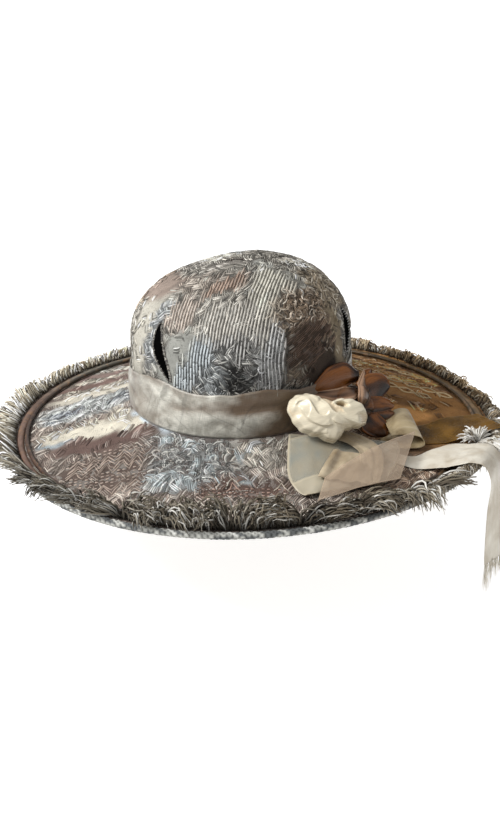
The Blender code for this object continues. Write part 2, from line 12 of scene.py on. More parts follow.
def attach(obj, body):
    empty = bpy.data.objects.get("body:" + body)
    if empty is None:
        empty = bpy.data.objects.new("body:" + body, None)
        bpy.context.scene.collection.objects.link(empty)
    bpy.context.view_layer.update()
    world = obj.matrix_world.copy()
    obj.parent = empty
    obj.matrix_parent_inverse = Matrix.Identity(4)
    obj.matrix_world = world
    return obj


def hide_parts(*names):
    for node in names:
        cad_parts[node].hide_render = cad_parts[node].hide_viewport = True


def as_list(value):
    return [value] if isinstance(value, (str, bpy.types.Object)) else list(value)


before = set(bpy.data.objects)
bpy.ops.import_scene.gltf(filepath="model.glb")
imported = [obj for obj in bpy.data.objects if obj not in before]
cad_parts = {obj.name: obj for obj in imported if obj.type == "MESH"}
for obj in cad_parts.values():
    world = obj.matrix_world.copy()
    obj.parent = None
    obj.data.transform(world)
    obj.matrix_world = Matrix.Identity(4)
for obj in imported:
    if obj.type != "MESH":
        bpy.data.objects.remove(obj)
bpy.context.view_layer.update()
mm = 0.001


# Numbers and curves

def smooth(value):
    value = np.clip(value, 0.0, 1.0)
    return value * value * (3.0 - 2.0 * value)


def ramp(low, high, value):
    return smooth((value - low) / (high - low))


def grain(points, size, seed=0.0):
    # soft noise from -1 to 1 for rows of points, features about size across
    rows = np.asarray(points, dtype=float) / size + seed
    return np.array([noise.noise(row) for row in rows])


def grain2(first, second, size, seed=0.0):
    first, second = np.broadcast_arrays(first, second)
    flat = np.stack([first.ravel(), second.ravel(), np.full(first.size, 0.37)], 1)
    return grain(flat, size, seed).reshape(first.shape)


def roundAngle(angle):
    return (angle + 180.0) % 360.0 - 180.0


def degreeOf(angle):
    return roundAngle(np.degrees(angle))


def opaque(tones):
    # rows of colours with an alpha of 1
    return np.concatenate([tones, np.ones((len(tones), 1))], 1)


def wrapTable(rows, angle):
    # values of an angle table, first column degrees, smooth between its rows
    rows = np.array(sorted(rows), dtype=float)
    rows = np.vstack([rows[-1], rows, rows[0]])
    rows[0, 0] -= 360.0
    rows[-1, 0] += 360.0
    angle = roundAngle(np.asarray(angle, dtype=float))
    index = np.clip(np.searchsorted(rows[:, 0], angle) - 1, 0, len(rows) - 2)
    share = smooth((angle - rows[index, 0]) / (rows[index + 1, 0] - rows[index, 0]))
    return [rows[index, k] + share * (rows[index + 1, k] - rows[index, k])
            for k in range(1, rows.shape[1])]


def throughStations(stations, share):
    # smooth path through rows of numbers, at shares from 0 to 1
    rows = np.array(stations, dtype=float)
    padded = np.vstack([2 * rows[0] - rows[1], rows, 2 * rows[-1] - rows[-2]])
    place = np.clip(share, 0.0, 1.0) * (len(rows) - 1)
    index = np.minimum(place.astype(int), len(rows) - 2)
    t = (place - index)[:, None]
    a, b, c, d = (padded[index + k] for k in range(4))
    return 0.5 * (2 * b + (c - a) * t + (2 * a - 5 * b + 4 * c - d) * t ** 2
                  + (3 * b - 3 * c + d - a) * t ** 3)


# Shape of the brim and the crown, the same as the solids have

hat = {
    "halfWidth": 88.5, "halfLength": 99.0, "wall": 2.5, "straight": 54.7, "dome": 62.9,
    "lean": 13.5, "leanHeading": -8.0, "seam": 90.0,
    "rimHalfWidth": 205.3, "rimHalfLength": 215.6, "rimShift": (9.8, 4.4), "rimDrop": 30.5,
    "rimCurve": 1.35, "lowestShare": 0.86, "rimTurnUp": 2.6, "rimWave": (5.1, -2.0, 2.15),
    "dip": {"angle": 42.0, "wide": 30.0, "depth": 9.0, "power": 6},
    "sag": {"all": 1.0, "side": 3.2, "at": -38.0, "wide": 26.0, "heading": 25.0},
}


def brimShare(radius):
    return np.maximum(0.0, (radius - hat["halfWidth"]) / (hat["rimHalfWidth"] - hat["halfWidth"]))


def brimPlace(radius, angle, lift):
    # points over the brim's top; the radius is measured along X, the angle in radians
    radius, angle, lift = np.broadcast_arrays(radius, angle, lift)
    share = brimShare(radius)
    inner = radius * hat["halfLength"] / hat["halfWidth"]
    outer = hat["halfLength"] + share * (hat["rimHalfLength"] - hat["halfLength"])
    halfLength = np.where(radius < hat["halfWidth"], inner, outer)
    level = 1.0 - np.minimum(share / hat["lowestShare"], 1.0)
    turnUp = np.maximum(0.0, np.minimum(share, 1.0) - hat["lowestShare"]) / (1.0 - hat["lowestShare"])
    drop = hat["rimDrop"] * (1.0 - level ** hat["rimCurve"]) - hat["rimTurnUp"] * turnUp
    left, back, sides = hat["rimWave"]
    wave = left * np.cos(angle) + back * np.sin(angle) + sides * np.cos(2.0 * angle)
    dip = hat["dip"]
    turned = roundAngle(np.degrees(angle) - dip["angle"])
    drop = drop + dip["depth"] * np.exp(-(turned / dip["wide"]) ** 2) * np.minimum(share, 1.0) ** dip["power"]
    x = hat["rimShift"][0] * share + radius * np.cos(angle)
    y = hat["rimShift"][1] * share + halfLength * np.sin(angle)
    return np.stack([x, y, lift - drop + wave * np.minimum(share, 1.0) ** 2], -1)


def brimRadius(x, y):
    # radius and angle of the places over or under points, at most the rim's
    low = np.full(x.shape, hat["halfWidth"])
    high = np.full(x.shape, hat["rimHalfWidth"])
    for _ in range(26):
        radius = 0.5 * (low + high)
        share = brimShare(radius)
        halfLength = hat["halfLength"] + share * (hat["rimHalfLength"] - hat["halfLength"])
        across = (x - hat["rimShift"][0] * share) / radius
        along = (y - hat["rimShift"][1] * share) / halfLength
        outside = np.hypot(across, along) > 1.0
        low, high = np.where(outside, radius, low), np.where(outside, high, radius)
    return radius, np.arctan2(along, across)


def brimTop(x, y):
    return brimPlace(*brimRadius(x, y), 0.0)[..., 2]


fold = {"angles": (-42.5, -37.0), "heights": (35.0, 87.0), "depth": 4.4, "edge": 2.4,
        "reach": 34.0, "fadesFrom": 71.0, "fadesOver": 24.0, "lip": 0.9}

darts = {
    "dartLeft": {"node": "dart_left", "low": -101.0, "high": -114.0, "bow": -1.0,
                 "from": 40.5, "to": 83.0, "half": 5.8},
    "dartRight": {"node": "dart_right", "low": 10.0, "high": 13.0, "bow": -0.5,
                  "from": 40.5, "to": 80.0, "half": 8.6},
}


def foldDistance(angle, height):
    low, high = fold["heights"]
    share = np.clip((height - low) / (high - low), -0.4, 1.2)
    line = fold["angles"][0] + share * (fold["angles"][1] - fold["angles"][0])
    return roundAngle(np.degrees(angle) - line)


def dartEdge(dart, height):
    # middle in degrees and half width of a dart at heights, the width 0 beyond its ends
    share = (height - dart["from"]) / (dart["to"] - dart["from"])
    inside = (share > 0.0) & (share < 1.0)
    share = np.clip(share, 0.0, 1.0)
    middle = dart["low"] + share * (dart["high"] - dart["low"])
    middle = middle + dart["bow"] * np.sin(np.pi * share)
    half = np.where(inside, 0.3 + (dart["half"] - 0.3) * np.sin(np.pi * share) ** 0.8, 0.0)
    return middle, half


def dartOff(dart, degree, height):
    # millimetres outside a dart's edge, below 0 inside it
    middle, half = dartEdge(dart, height)
    off = np.radians(np.abs(roundAngle(degree - middle))) * hat["halfWidth"] - half
    return np.where(half > 0.0, off, 99.0)


def crownPlace(angle, height, depth):
    # points on the crown's outer surface or at a depth under it
    angle, height, depth = np.broadcast_arrays(angle, height, depth)
    dome = np.clip((height - hat["straight"]) / hat["dome"], 0.0, 1.0)
    narrow = np.sqrt(1.0 - dome * dome)
    distance = foldDistance(angle, height)
    rise = 1.0 - smooth((height - fold["fadesFrom"]) / fold["fadesOver"])
    recess = smooth(distance / fold["edge"] + 0.5) * (1.0 - smooth(distance / fold["reach"]))
    lip = np.exp(-((distance + 2.0) / 1.6) ** 2)
    inward = depth + (fold["depth"] * recess - fold["lip"] * lip) * rise
    shift = hat["lean"] * dome ** 4
    heading = radians(hat["leanHeading"])
    x = (hat["halfWidth"] - inward) * narrow * np.cos(angle) + shift * cos(heading)
    y = (hat["halfLength"] - inward) * narrow * np.sin(angle) + shift * sin(heading)
    # the top sinks a little, most to the wearer's right
    sag = hat["sag"]
    across = x * cos(radians(sag["heading"])) + y * sin(radians(sag["heading"]))
    sunk = (sag["all"] + sag["side"] * np.exp(-((across - sag["at"]) / sag["wide"]) ** 2)) * dome ** 2
    return np.stack([x, y, height - depth * dome - sunk], -1)


# Mesh makers

def keepMesh(name, mesh, materials, node, slot):
    # piece that stands for a solid, or for none, with the given materials; the slot is not used
    piece = bpy.data.objects.new(name, mesh)
    bpy.context.scene.collection.objects.link(piece)
    for entry in materials if isinstance(materials, list) else [materials]:
        mesh.materials.append(entry)
    mesh.shade_smooth()
    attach(piece, "root")
    if node:
        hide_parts(node)
    return piece


def addLayer(mesh, name, values):
    # values of each vertex as an attribute of the face corners, or a UV map for pairs
    corners = np.empty(len(mesh.loops), np.int32)
    mesh.loops.foreach_get("vertex_index", corners)
    values = np.asarray(values, dtype=np.float32)[corners]
    if values.ndim == 2 and values.shape[1] == 2:
        mesh.uv_layers.new(name=name).data.foreach_set("uv", values.ravel())
    elif values.ndim == 2:
        layer = mesh.color_attributes.new(name, "FLOAT_COLOR", "CORNER")
        layer.data.foreach_set("color", values.ravel())
    else:
        mesh.attributes.new(name, "FLOAT", "CORNER").data.foreach_set("value", values)


def clothGrid(name, columns, rows, place, materials, node, slot, closed=False, thickness=0.0):
    # grid whose points and layers come from place(across, along), both from 0 to 1
    bm = bmesh.new()
    bmesh.ops.create_grid(bm, x_segments=columns, y_segments=rows, size=0.5)
    mesh = bpy.data.meshes.new(name)
    bm.to_mesh(mesh)
    flat = np.empty(len(mesh.vertices) * 3, np.float32)
    mesh.vertices.foreach_get("co", flat)
    flat = flat.reshape(-1, 3) + 0.5
    layers = place(flat[:, 0].astype(float), flat[:, 1].astype(float))
    points = layers.pop("points") * mm
    mesh.vertices.foreach_set("co", points.astype(np.float32).ravel())
    for key, values in layers.items():
        addLayer(mesh, key, values)
    bm.clear()
    bm.from_mesh(mesh)
    if closed:
        bmesh.ops.remove_doubles(bm, verts=bm.verts, dist=0.000002)
        bmesh.ops.recalc_face_normals(bm, faces=bm.faces)
    bm.to_mesh(mesh)
    bm.free()
    piece = keepMesh(name, mesh, materials, node, slot)
    if thickness:      # outwards, or inwards below 0
        wall = piece.modifiers.new("wall", "SOLIDIFY")
        wall.thickness = abs(thickness) * mm
        wall.offset = 1.0 if thickness > 0.0 else -1.0
    return piece


def yarnMesh(name, paths, radii, colours, material, node, slot, sides=3, fine=0.75):
    # tapered threads: paths is threads by steps by 3, one radius and two colours a thread
    count, steps, _ = paths.shape
    tangent = np.gradient(paths, axis=1)
    tangent /= np.maximum(np.linalg.norm(tangent, axis=2, keepdims=True), 1e-9)
    guide = np.where(np.abs(tangent[..., 2:]) > 0.85, [[[1.0, 0.0, 0.0]]], [[[0.0, 0.0, 1.0]]])
    first = np.cross(tangent, guide)
    first /= np.maximum(np.linalg.norm(first, axis=2, keepdims=True), 1e-9)
    second = np.cross(tangent, first)
    taper = np.linspace(0.0, 1.0, steps)
    taper = (1.0 - fine * taper ** 3) * (0.75 + 0.25 * np.minimum(taper * 4.0, 1.0))
    turn = 2.0 * np.pi * np.arange(sides) / sides
    ring = (first[:, :, None] * np.cos(turn)[None, None, :, None]
            - second[:, :, None] * np.sin(turn)[None, None, :, None])
    points = paths[:, :, None] + ring * (radii[:, None] * taper)[:, :, None, None]
    base = np.arange(count)[:, None, None] * steps * sides
    row = np.arange(steps - 1)[None, :, None] * sides
    side = np.arange(sides)[None, None, :]
    beside = (side + 1) % sides
    quads = np.stack([base + row + side, base + row + beside,
                      base + row + sides + beside, base + row + sides + side], -1).reshape(-1, 4)
    root = (np.arange(count)[:, None] * steps * sides) + np.arange(sides)[None, ::-1]
    tip = (np.arange(count)[:, None] * steps * sides) + (steps - 1) * sides + np.arange(sides)
    caps = np.concatenate([root, tip])
    mesh = bpy.data.meshes.new(name)
    mesh.vertices.add(points.size // 3)
    mesh.vertices.foreach_set("co", (points * mm).astype(np.float32).ravel())
    corners = np.concatenate([quads.ravel(), caps.ravel()]).astype(np.int32)
    starts = np.concatenate([np.arange(len(quads)) * 4, quads.size + np.arange(len(caps)) * sides])
    mesh.loops.add(len(corners))
    mesh.loops.foreach_set("vertex_index", corners)
    mesh.polygons.add(len(starts))
    mesh.polygons.foreach_set("loop_start", starts.astype(np.int32))
    mesh.update(calc_edges=True)
    along = np.linspace(0.0, 1.0, steps)[None, :, None]
    shade = colours[0][:, None] + (colours[1] - colours[0])[:, None] * smooth(along * 1.6)
    shade = opaque(np.repeat(shade[:, :, None], sides, axis=2).reshape(-1, 3))
    layer = mesh.color_attributes.new("yarn", "FLOAT_COLOR", "POINT")
    layer.data.foreach_set("color", shade.astype(np.float32).ravel())
    return keepMesh(name, mesh, material, node, slot)


def bentPaths(root, out, tip, end, steps):
    # threads from root to end, drawn towards two points between
    t = np.linspace(0.0, 1.0, steps)[None, :, None]
    a, b, c, d = (p[:, None] for p in (root, out, tip, end))
    return a * (1 - t) ** 3 + 3 * b * t * (1 - t) ** 2 + 3 * c * t * t * (1 - t) + d * t ** 3


# Material makers

class Cloth:
    # A material's node tree with short ways to add to it

    def __init__(self, name, colour=(0.5, 0.5, 0.5), roughness=0.7):
        self.material = bpy.data.materials.new(name)
        self.material.use_nodes = True
        self.tree = self.material.node_tree
        self.shader = self.tree.nodes["Principled BSDF"]
        self.set("Base Color", (*colour, 1.0))
        self.set("Roughness", roughness)
        self.set("Specular IOR Level", 0.35)

    def set(self, name, value):
        self.join(value, self.shader.inputs[name])

    def join(self, value, socket):
        if isinstance(value, bpy.types.NodeSocket):
            self.tree.links.new(value, socket)
        else:
            socket.default_value = value

    def node(self, kind, inputs=None, **settings):
        made = self.tree.nodes.new("ShaderNode" + kind)
        for key, value in settings.items():
            setattr(made, key, value)
        for key, value in (inputs or {}).items():
            self.join(value, made.inputs[key])
        return made

    def maths(self, operation, first, second=0.0, third=0.0):
        return self.node("Math", {0: first, 1: second, 2: third}, operation=operation).outputs[0]

    def plus(self, first, second):
        return self.maths("ADD", first, second)

    def product(self, first, second):
        return self.maths("MULTIPLY", first, second)

    def scaled(self, value, factor, offset):
        return self.maths("MULTIPLY_ADD", value, factor, offset)

    def between(self, share, first, second):
        # mix of two colours, or of two numbers
        if isinstance(first, float):
            return self.node("Mix", {0: share, 2: first, 3: second}, data_type="FLOAT").outputs[0]
        first, second = (tone if isinstance(tone, bpy.types.NodeSocket) else (*tone, 1.0)
                         for tone in (first, second))
        return self.node("Mix", {0: share, 6: first, 7: second}, data_type="RGBA").outputs[2]

    def times(self, colour, factor):
        return self.node("VectorMath", {0: colour, 3: factor}, operation="SCALE").outputs[0]

    def fit(self, value, low, high, start=0.0, stop=1.0):
        return self.node("MapRange", {0: value, 1: low, 2: high, 3: start, 4: stop},
                         interpolation_type="SMOOTHSTEP").outputs[0]

    def speckle(self, where, scale, detail=2.0, distortion=0.0):
        return self.node("TexNoise", {"Vector": where, "Scale": scale, "Detail": detail,
                                      "Distortion": distortion}).outputs[0]

    def stretched(self, where, across, along):
        return self.node("Mapping", {"Vector": where, "Scale": (across, along, 1.0)}).outputs[0]

    def turned(self, where, angle):
        return self.node("VectorRotate", {"Vector": where, "Angle": angle},
                         rotation_type="Z_AXIS").outputs[0]

    def axes(self, where):
        return self.node("SeparateXYZ", {0: where}).outputs

    def weaveMap(self):
        return self.node("UVMap", uv_map="weave").outputs[0]

    def objectMap(self):
        return self.node("TexCoord").outputs["Object"]

    def layer(self, name, output="Fac"):
        return self.node("Attribute", attribute_name=name).outputs[output]

    def finish(self, colour, roughness, gloss, height, strength, relief):
        self.set("Base Color", colour)
        self.set("Roughness", roughness)
        self.set("Specular IOR Level", gloss)
        bump = self.node("Bump", {"Strength": strength, "Distance": relief * mm, "Height": height})
        self.set("Normal", bump.outputs[0])
        return self.material


brocade = {"pitch": 0.9, "relief": 0.3, "cell": 6.5, "row": 1.55, "cover": 0.8, "faint": 0.6,
           "leaf": 0.11, "leafEdge": 0.53, "leafTone": (0.2, 0.215, 0.21)}


def makeBrocade(name, groundAndGapShade):
    # the layer dye holds the threads' colour, and its alpha how much of the cloth they cover;
    # between sewn threads shows the ground, dark both as cloth and as painted shade in the gaps, with woven
    # rows, each cell's in a direction of its own
    cloth = Cloth(name, roughness=0.86)
    where = cloth.weaveMap()
    dye, cover = cloth.layer("dye", "Color"), cloth.layer("dye", "Alpha")
    u, v, _ = cloth.axes(where)

    def rows(value, pitch):
        return cloth.maths("SINE", cloth.product(value, 2.0 * np.pi / pitch))

    uneven = cloth.scaled(cloth.speckle(where, 0.35), 1.6, -0.8)
    twill = rows(cloth.plus(cloth.plus(u, uneven), cloth.product(v, 0.55)), brocade["pitch"])
    weft = rows(cloth.maths("SUBTRACT", v, uneven), brocade["pitch"] * 0.8)
    cell = cloth.node("TexVoronoi", {"Vector": where, "Scale": 1.0 / brocade["cell"]})
    heading, pale, _ = cloth.axes(cell.outputs["Color"])
    turned = cloth.turned(where, cloth.product(heading, 2.0 * np.pi))
    thread = cloth.fit(rows(cloth.plus(cloth.axes(turned)[0], uneven), brocade["row"]), -0.3, 0.7)
    height = cloth.scaled(twill, 0.3, cloth.scaled(weft, 0.2, cloth.speckle(where, 1.1, 3.0)))
    blotch = cloth.scaled(cloth.speckle(where, 0.07, 4.0), 0.9, 0.55)
    # painted shade: darker in the grooves of the weave, lighter on its raised threads, times soft blotches
    shade = cloth.product(blotch, cloth.fit(height, -0.1, 1.1, 0.72, 1.3))
    plain = cloth.between(cloth.product(cover, brocade["cover"]), dye, groundAndGapShade)
    # woven shapes with a dark outline, where threads cover the cloth
    leaf, edge = cloth.speckle(where, brocade["leaf"], 3.0, 0.9), brocade["leafEdge"]
    inLeaf = cloth.product(cloth.fit(leaf, edge, edge + 0.015), cloth.fit(cover, 0.3, 0.8, 0.0, 0.8))
    plain = cloth.between(inLeaf, plain, cloth.between(0.5, cloth.times(dye, 1.5), brocade["leafTone"]))
    offEdge = cloth.maths("ABSOLUTE", cloth.maths("SUBTRACT", leaf, edge - 0.008))
    shade = cloth.product(shade, cloth.fit(offEdge, 0.0, 0.012, 0.4, 1.0))
    woven = cloth.times(dye, cloth.scaled(pale, 0.9, 0.6))
    share = cloth.product(cloth.product(thread, brocade["faint"]), cloth.fit(cover, 0.0, 0.6, 0.2, 1.0))
    return cloth.finish(cloth.times(cloth.between(share, plain, woven), shade),
                        cloth.scaled(height, -0.12, 0.88), 0.1,
                        cloth.plus(height, thread), 0.7, brocade["relief"])


def makeLining(name, colour, pitch):
    cloth = Cloth(name, colour, 0.8)
    where = cloth.objectMap()
    x, y, _ = cloth.axes(where)
    wave = 2.0 * np.pi / (pitch * mm)
    rows = cloth.product(cloth.maths("SINE", cloth.product(x, wave)),
                         cloth.maths("SINE", cloth.product(y, wave)))
    tone = cloth.between(cloth.speckle(where, 28.0, 3.0), [c * 0.8 for c in colour],
                         [c * 1.15 for c in colour])
    cloth.set("Sheen Weight", 0.1)
    return cloth.finish(tone, 0.8, 0.35, rows, 0.25, 0.15)


def makeSatin(name, shadow, light, roughness=0.38, streaks=(0.5, 0.06), alpha=1.0, strength=0.25,
              gloss=0.45):
    # silk or satin: painted shade and light as two tones over soft blotches, fine threads along the ribbon
    cloth = Cloth(name, light, roughness)
    where = cloth.weaveMap()
    blotch = cloth.speckle(where, 0.055, 3.0, 0.4)
    threads = cloth.speckle(cloth.stretched(where, *streaks), 4.0, 4.0)
    share = cloth.fit(cloth.scaled(threads, 0.35, cloth.product(blotch, 0.75)), 0.32, 0.78)
    tone = cloth.between(share, shadow, light)
    if alpha < 1.0:      # the hem is paler and covers more
        hem = cloth.layer("hem")
        cloth.set("Alpha", cloth.between(hem, alpha, min(0.9, alpha + 0.3)))
        if alpha < 0.9:
            tone = cloth.between(hem, tone, [c * 1.15 for c in light])
    cloth.set("Sheen Weight", 0.2 * gloss)
    cloth.set("Sheen Roughness", 0.35)
    return cloth.finish(tone, cloth.scaled(threads, 0.2, roughness - 0.1), gloss,
                        threads, strength, 0.35)


def makeYarn(name, roughness=0.72):
    cloth = Cloth(name, roughness=roughness)
    fibre = cloth.speckle(cloth.objectMap(), 900.0)
    tone = cloth.times(cloth.layer("yarn", "Color"), cloth.scaled(fibre, 0.7, 0.65))
    return cloth.finish(tone, roughness, 0.2, fibre, 0.5, 0.25)


def makeVelvet(name):
    cloth = Cloth(name, (0.002, 0.002, 0.002), 1.0)
    pile = cloth.speckle(cloth.objectMap(), 1400.0)
    return cloth.finish(cloth.between(pile, (0.0, 0.0, 0.0), (0.003, 0.003, 0.003)), 1.0, 0.0,
                        pile, 0.5, 0.2)


# ground colours under the threads, dark partly as painted shade in the gaps
crownCloth = makeBrocade("crownBrocade", (0.04, 0.038, 0.035))
brimCloth = makeBrocade("brimBrocade", (0.072, 0.048, 0.041))
innerCloth = makeLining("liningCotton", (0.33, 0.29, 0.23), 0.9)
underCloth = makeLining("underBrimCotton", (0.30, 0.26, 0.21), 0.9)
velvet = makeVelvet("blackVelvet")
yarnStuff = makeYarn("woolYarn")
stitchYarn = makeYarn("stitchYarn", 0.6)
print("scene: materials made")


# Patch painting: each patch is an ellipse or rounded box of one dye and one weave

ribsWeave, curlsWeave, plainWeave, motifWeave, hatchWeave = 0, 1, 2, 3, 4


def paintPatches(u, v, patches, dyeBase):
    # layers kinds and dye over flat millimetres; patches are (u, v, halfU, halfV, turn,
    # weave, dye, strength), later ones over earlier ones
    warpU = u + 9.0 * grain2(u, v, 24.0, 2.0) + 4.0 * grain2(u, v, 8.0, 4.0)
    warpV = v + 7.0 * grain2(u, v, 24.0, 6.0) + 4.0 * grain2(u, v, 7.0, 8.0)
    kinds = np.zeros((len(u), 4))
    dye = np.tile(np.array(dyeBase, dtype=float), (len(u), 1))
    for patchU, patchV, halfU, halfV, turn, weave, colour, strength in patches:
        c, s = cos(radians(turn)), sin(radians(turn))
        du, dv = warpU - patchU, warpV - patchV
        a, b = (du * c + dv * s) / halfU, (dv * c - du * s) / halfV
        distance = (np.abs(a) ** 3 + np.abs(b) ** 3) ** (1 / 3)
        share = ramp(1.3, 0.75, distance)
        target = np.zeros(4)
        if weave != hatchWeave:
            target[weave] = 1.0
        kinds += (target - kinds) * share[:, None]
        dye += (np.array((*colour, strength)) - dye) * share[:, None]
    return kinds, dye


# Stitches: threads laid on the cloth, which follow its surface

stitchLook = {
    "shades": [0.5, 1.0, 1.5, 2.1, 2.8], "chances": [0.2, 0.3, 0.25, 0.15, 0.1],
    "bare": [0.0, 0.0, 0.0, 0.2, 0.45], "bareTone": (0.56, 0.55, 0.5), "lightest": 0.6, "lift": 0.22,
}


def walk(surface, first, second, heading, bend, length, steps):
    # flat places along stitches from their starts, turning by bend in all
    stride = length / (steps - 1)
    firsts, seconds = [first], [second]
    for index in range(steps - 1):
        turn = heading + bend * (index + 0.5) / (steps - 1)
        first, second = surface["go"](first, second, turn, stride)
        firsts.append(first)
        seconds.append(second)
    return np.stack(firsts, 1), np.stack(seconds, 1)


def stitchTones(dye, dice, pale=1.0):
    # threads of a dye: darker and lighter ones, the lightest nearly bare
    pick = dice.choice(5, size=len(dye), p=stitchLook["chances"])
    shade = np.array(stitchLook["shades"])[pick] * dice.uniform(0.85, 1.15, len(dye)) * pale
    tone = dye[:, :3] * shade[:, None]
    bare = np.array(stitchLook["bare"])[pick] * (0.3 + 0.7 * ramp(0.01, 0.05, dye[:, :3].mean(axis=1)))
    tone = tone + (np.array(stitchLook["bareTone"]) * pale - tone) * bare[:, None]
    return np.minimum(tone, stitchLook["lightest"])


def sewStitches(name, surface, firsts, seconds, radii, tones, fine=0.3):
    # one mesh of threads through flat places, cut where the surface ends
    keep = surface["inside"](firsts, seconds).all(axis=1)
    firsts, seconds, radii, tones = firsts[keep], seconds[keep], radii[keep], tones[keep]
    rise = np.sin(np.linspace(0.0, np.pi, firsts.shape[1])) ** 0.5 * 0.3 + 0.7
    lift = np.broadcast_to(stitchLook["lift"] * rise, firsts.shape)
    points = surface["at"](firsts.ravel(), seconds.ravel(), lift.ravel()).reshape(*firsts.shape, 3)
    yarnMesh(name, points, radii, (tones, tones), stitchYarn, surface["node"], surface["slot"], fine=fine)


def bundleStrokes(surface, spots, heading, look, dice, bends, steps):
    # parallel strokes beside each spot: flat places, dye and the spot of each; bends(count) draws
    # how far those of a spot turn
    strands, count = look["strands"], len(spots[0])
    which = np.repeat(np.arange(count), strands)
    offset = np.tile(np.arange(strands) - (strands - 1) / 2, count) * look["pitch"]
    length = (dice.uniform(*look["length"], count)[which]) * dice.uniform(0.85, 1.1, len(which))
    turn = heading[which] + dice.normal(0.0, 0.07, len(which))
    first, second = surface["go"](spots[0][which], spots[1][which], turn + np.pi / 2, offset)
    first, second = surface["go"](first, second, turn + np.pi, length / 2)
    dye = surface["paint"](first, second)[1]
    bend = bends(count)[which]
    return (*walk(surface, first, second, turn, bend, length, steps), dye, which)


# Crown

crownLook = {
    "columns": 264, "wallRows": 26, "domeRows": 54, "insideRows": 9, "pucker": 0.55, "bend": 78.0,
    "dent": {"depth": 2.4, "degree": -36.0, "half": 4.0, "height": 90.0, "halfTall": 6.0},
    "sewn": (27.0, 174.0),     # distances up the crown between which it has stitches
    "patches": [   # angle, distance up the crown, half width, half height, turn, weave, dye, strength
        (-131, 72, 17, 46, 4, plainWeave, (0.38, 0.36, 0.31), 0.0),
        (-150, 112, 34, 15, 10, plainWeave, (0.27, 0.215, 0.18), 0.1),
        (-117, 74, 8, 32, 6, hatchWeave, (0.24, 0.25, 0.25), 0.7),
        (-98, 58, 15, 32, -26, plainWeave, (0.27, 0.27, 0.245), 0.1),
        (-104, 104, 13, 18, 0, ribsWeave, (0.25, 0.215, 0.185), 0.8),
        (-86, 60, 11, 34, -32, ribsWeave, (0.22, 0.238, 0.245), 0.85),
        (-64, 100, 38, 18, 0, ribsWeave, (0.27, 0.255, 0.228), 0.9),
        (-64, 62, 22, 26, 0, ribsWeave, (0.2, 0.195, 0.185), 0.95),
        (-76, 46, 13, 13, 0, hatchWeave, (0.2, 0.21, 0.21), 0.9),
        (-73, 67, 8, 10, 0, hatchWeave, (0.17, 0.168, 0.16), 0.95),
        (-63, 49, 14, 14, 0, curlsWeave, (0.017, 0.0165, 0.0155), 0.95),
        (-56, 64, 8, 14, 0, hatchWeave, (0.13, 0.127, 0.12), 0.95),
        (-53, 51, 7, 11, 0, curlsWeave, (0.11, 0.108, 0.104), 0.95),
        (-45, 62, 9, 36, 0, ribsWeave, (0.26, 0.26, 0.255), 0.95),
        (-32, 137, 42, 31, 18, ribsWeave, (0.34, 0.325, 0.28), 0.9),
        (-40, 172, 60, 14, 0, hatchWeave, (0.25, 0.245, 0.22), 0.8),
        (-88, 141, 26, 11, 12, ribsWeave, (0.205, 0.152, 0.12), 0.75),
        (-122, 134, 30, 14, 6, hatchWeave, (0.23, 0.2, 0.17), 0.7),
        (-19, 103, 40, 21, -8, curlsWeave, (0.135, 0.1, 0.07), 0.95),
        (-22, 62, 30, 28, 0, ribsWeave, (0.048, 0.032, 0.023), 0.7),
        (-31, 47, 8, 5, 20, hatchWeave, (0.15, 0.12, 0.09), 0.7),
        (-12, 62, 6, 9, 0, hatchWeave, (0.12, 0.09, 0.065), 0.7),
        (-14, 44, 20, 14, 14, plainWeave, (0.042, 0.03, 0.023), 0.1),
        (-1, 66, 8, 34, 4, plainWeave, (0.23, 0.185, 0.125), 0.1),
        (16, 112, 28, 24, 0, hatchWeave, (0.19, 0.155, 0.11), 0.8),
    ],
    "base": (0.185, 0.172, 0.15, 0.85),
    "hatch": {"seed": 3, "strands": 4, "pitch": 1.55, "length": (6.0, 9.0), "spacing": 5.6},
    "curls": {"seed": 8, "strands": 2, "pitch": 1.7, "length": (6.0, 11.0), "spacing": 3.6},
    "ribs": {"seed": 4, "pitch": 2.5, "stride": 2.6, "planeHeading": 10.0, "front": (-134.0, -36.0)},
    "fineRibs": {"pitch": 1.7, "length": 8.4, "slant": 29.0, "centre": (-20.0, 62.0), "reach": (48.0, 55.0)},
}


def backPatches(count, seed, spots, sizes, dyes):
    # patches for the sides that the photo leaves out, of the same dyes and weaves
    dice = random.Random(seed)
    found = []
    for _ in range(count):
        colour, cover = dice.choice(dyes)
        weave = dice.choice((ribsWeave, ribsWeave, curlsWeave, plainWeave, hatchWeave))
        found.append((dice.uniform(*spots[0]), dice.uniform(*spots[1]), dice.uniform(*sizes),
                      dice.uniform(*sizes) * 0.7, dice.uniform(-25, 25), weave, colour,
                      cover if weave != plainWeave else 0.1))
    return found


crownDyes = [((0.25, 0.23, 0.19), 0.9), ((0.19, 0.175, 0.155), 0.95), ((0.25, 0.26, 0.255), 0.9),
             ((0.05, 0.04, 0.034), 0.8), ((0.36, 0.34, 0.29), 0.5), ((0.24, 0.17, 0.12), 0.7),
             ((0.15, 0.115, 0.085), 0.9)]
flatPerDegree = 94.0 * np.pi / 180.0     # cloth along the crown's wall for a degree


def crownRise(distance):
    # share of the full oval and the height at distances up the crown
    up = np.clip((distance - hat["straight"]) / crownLook["bend"], 0.0, np.pi / 2)
    return np.cos(up), np.minimum(distance, hat["straight"]) + hat["dome"] * np.sin(up)


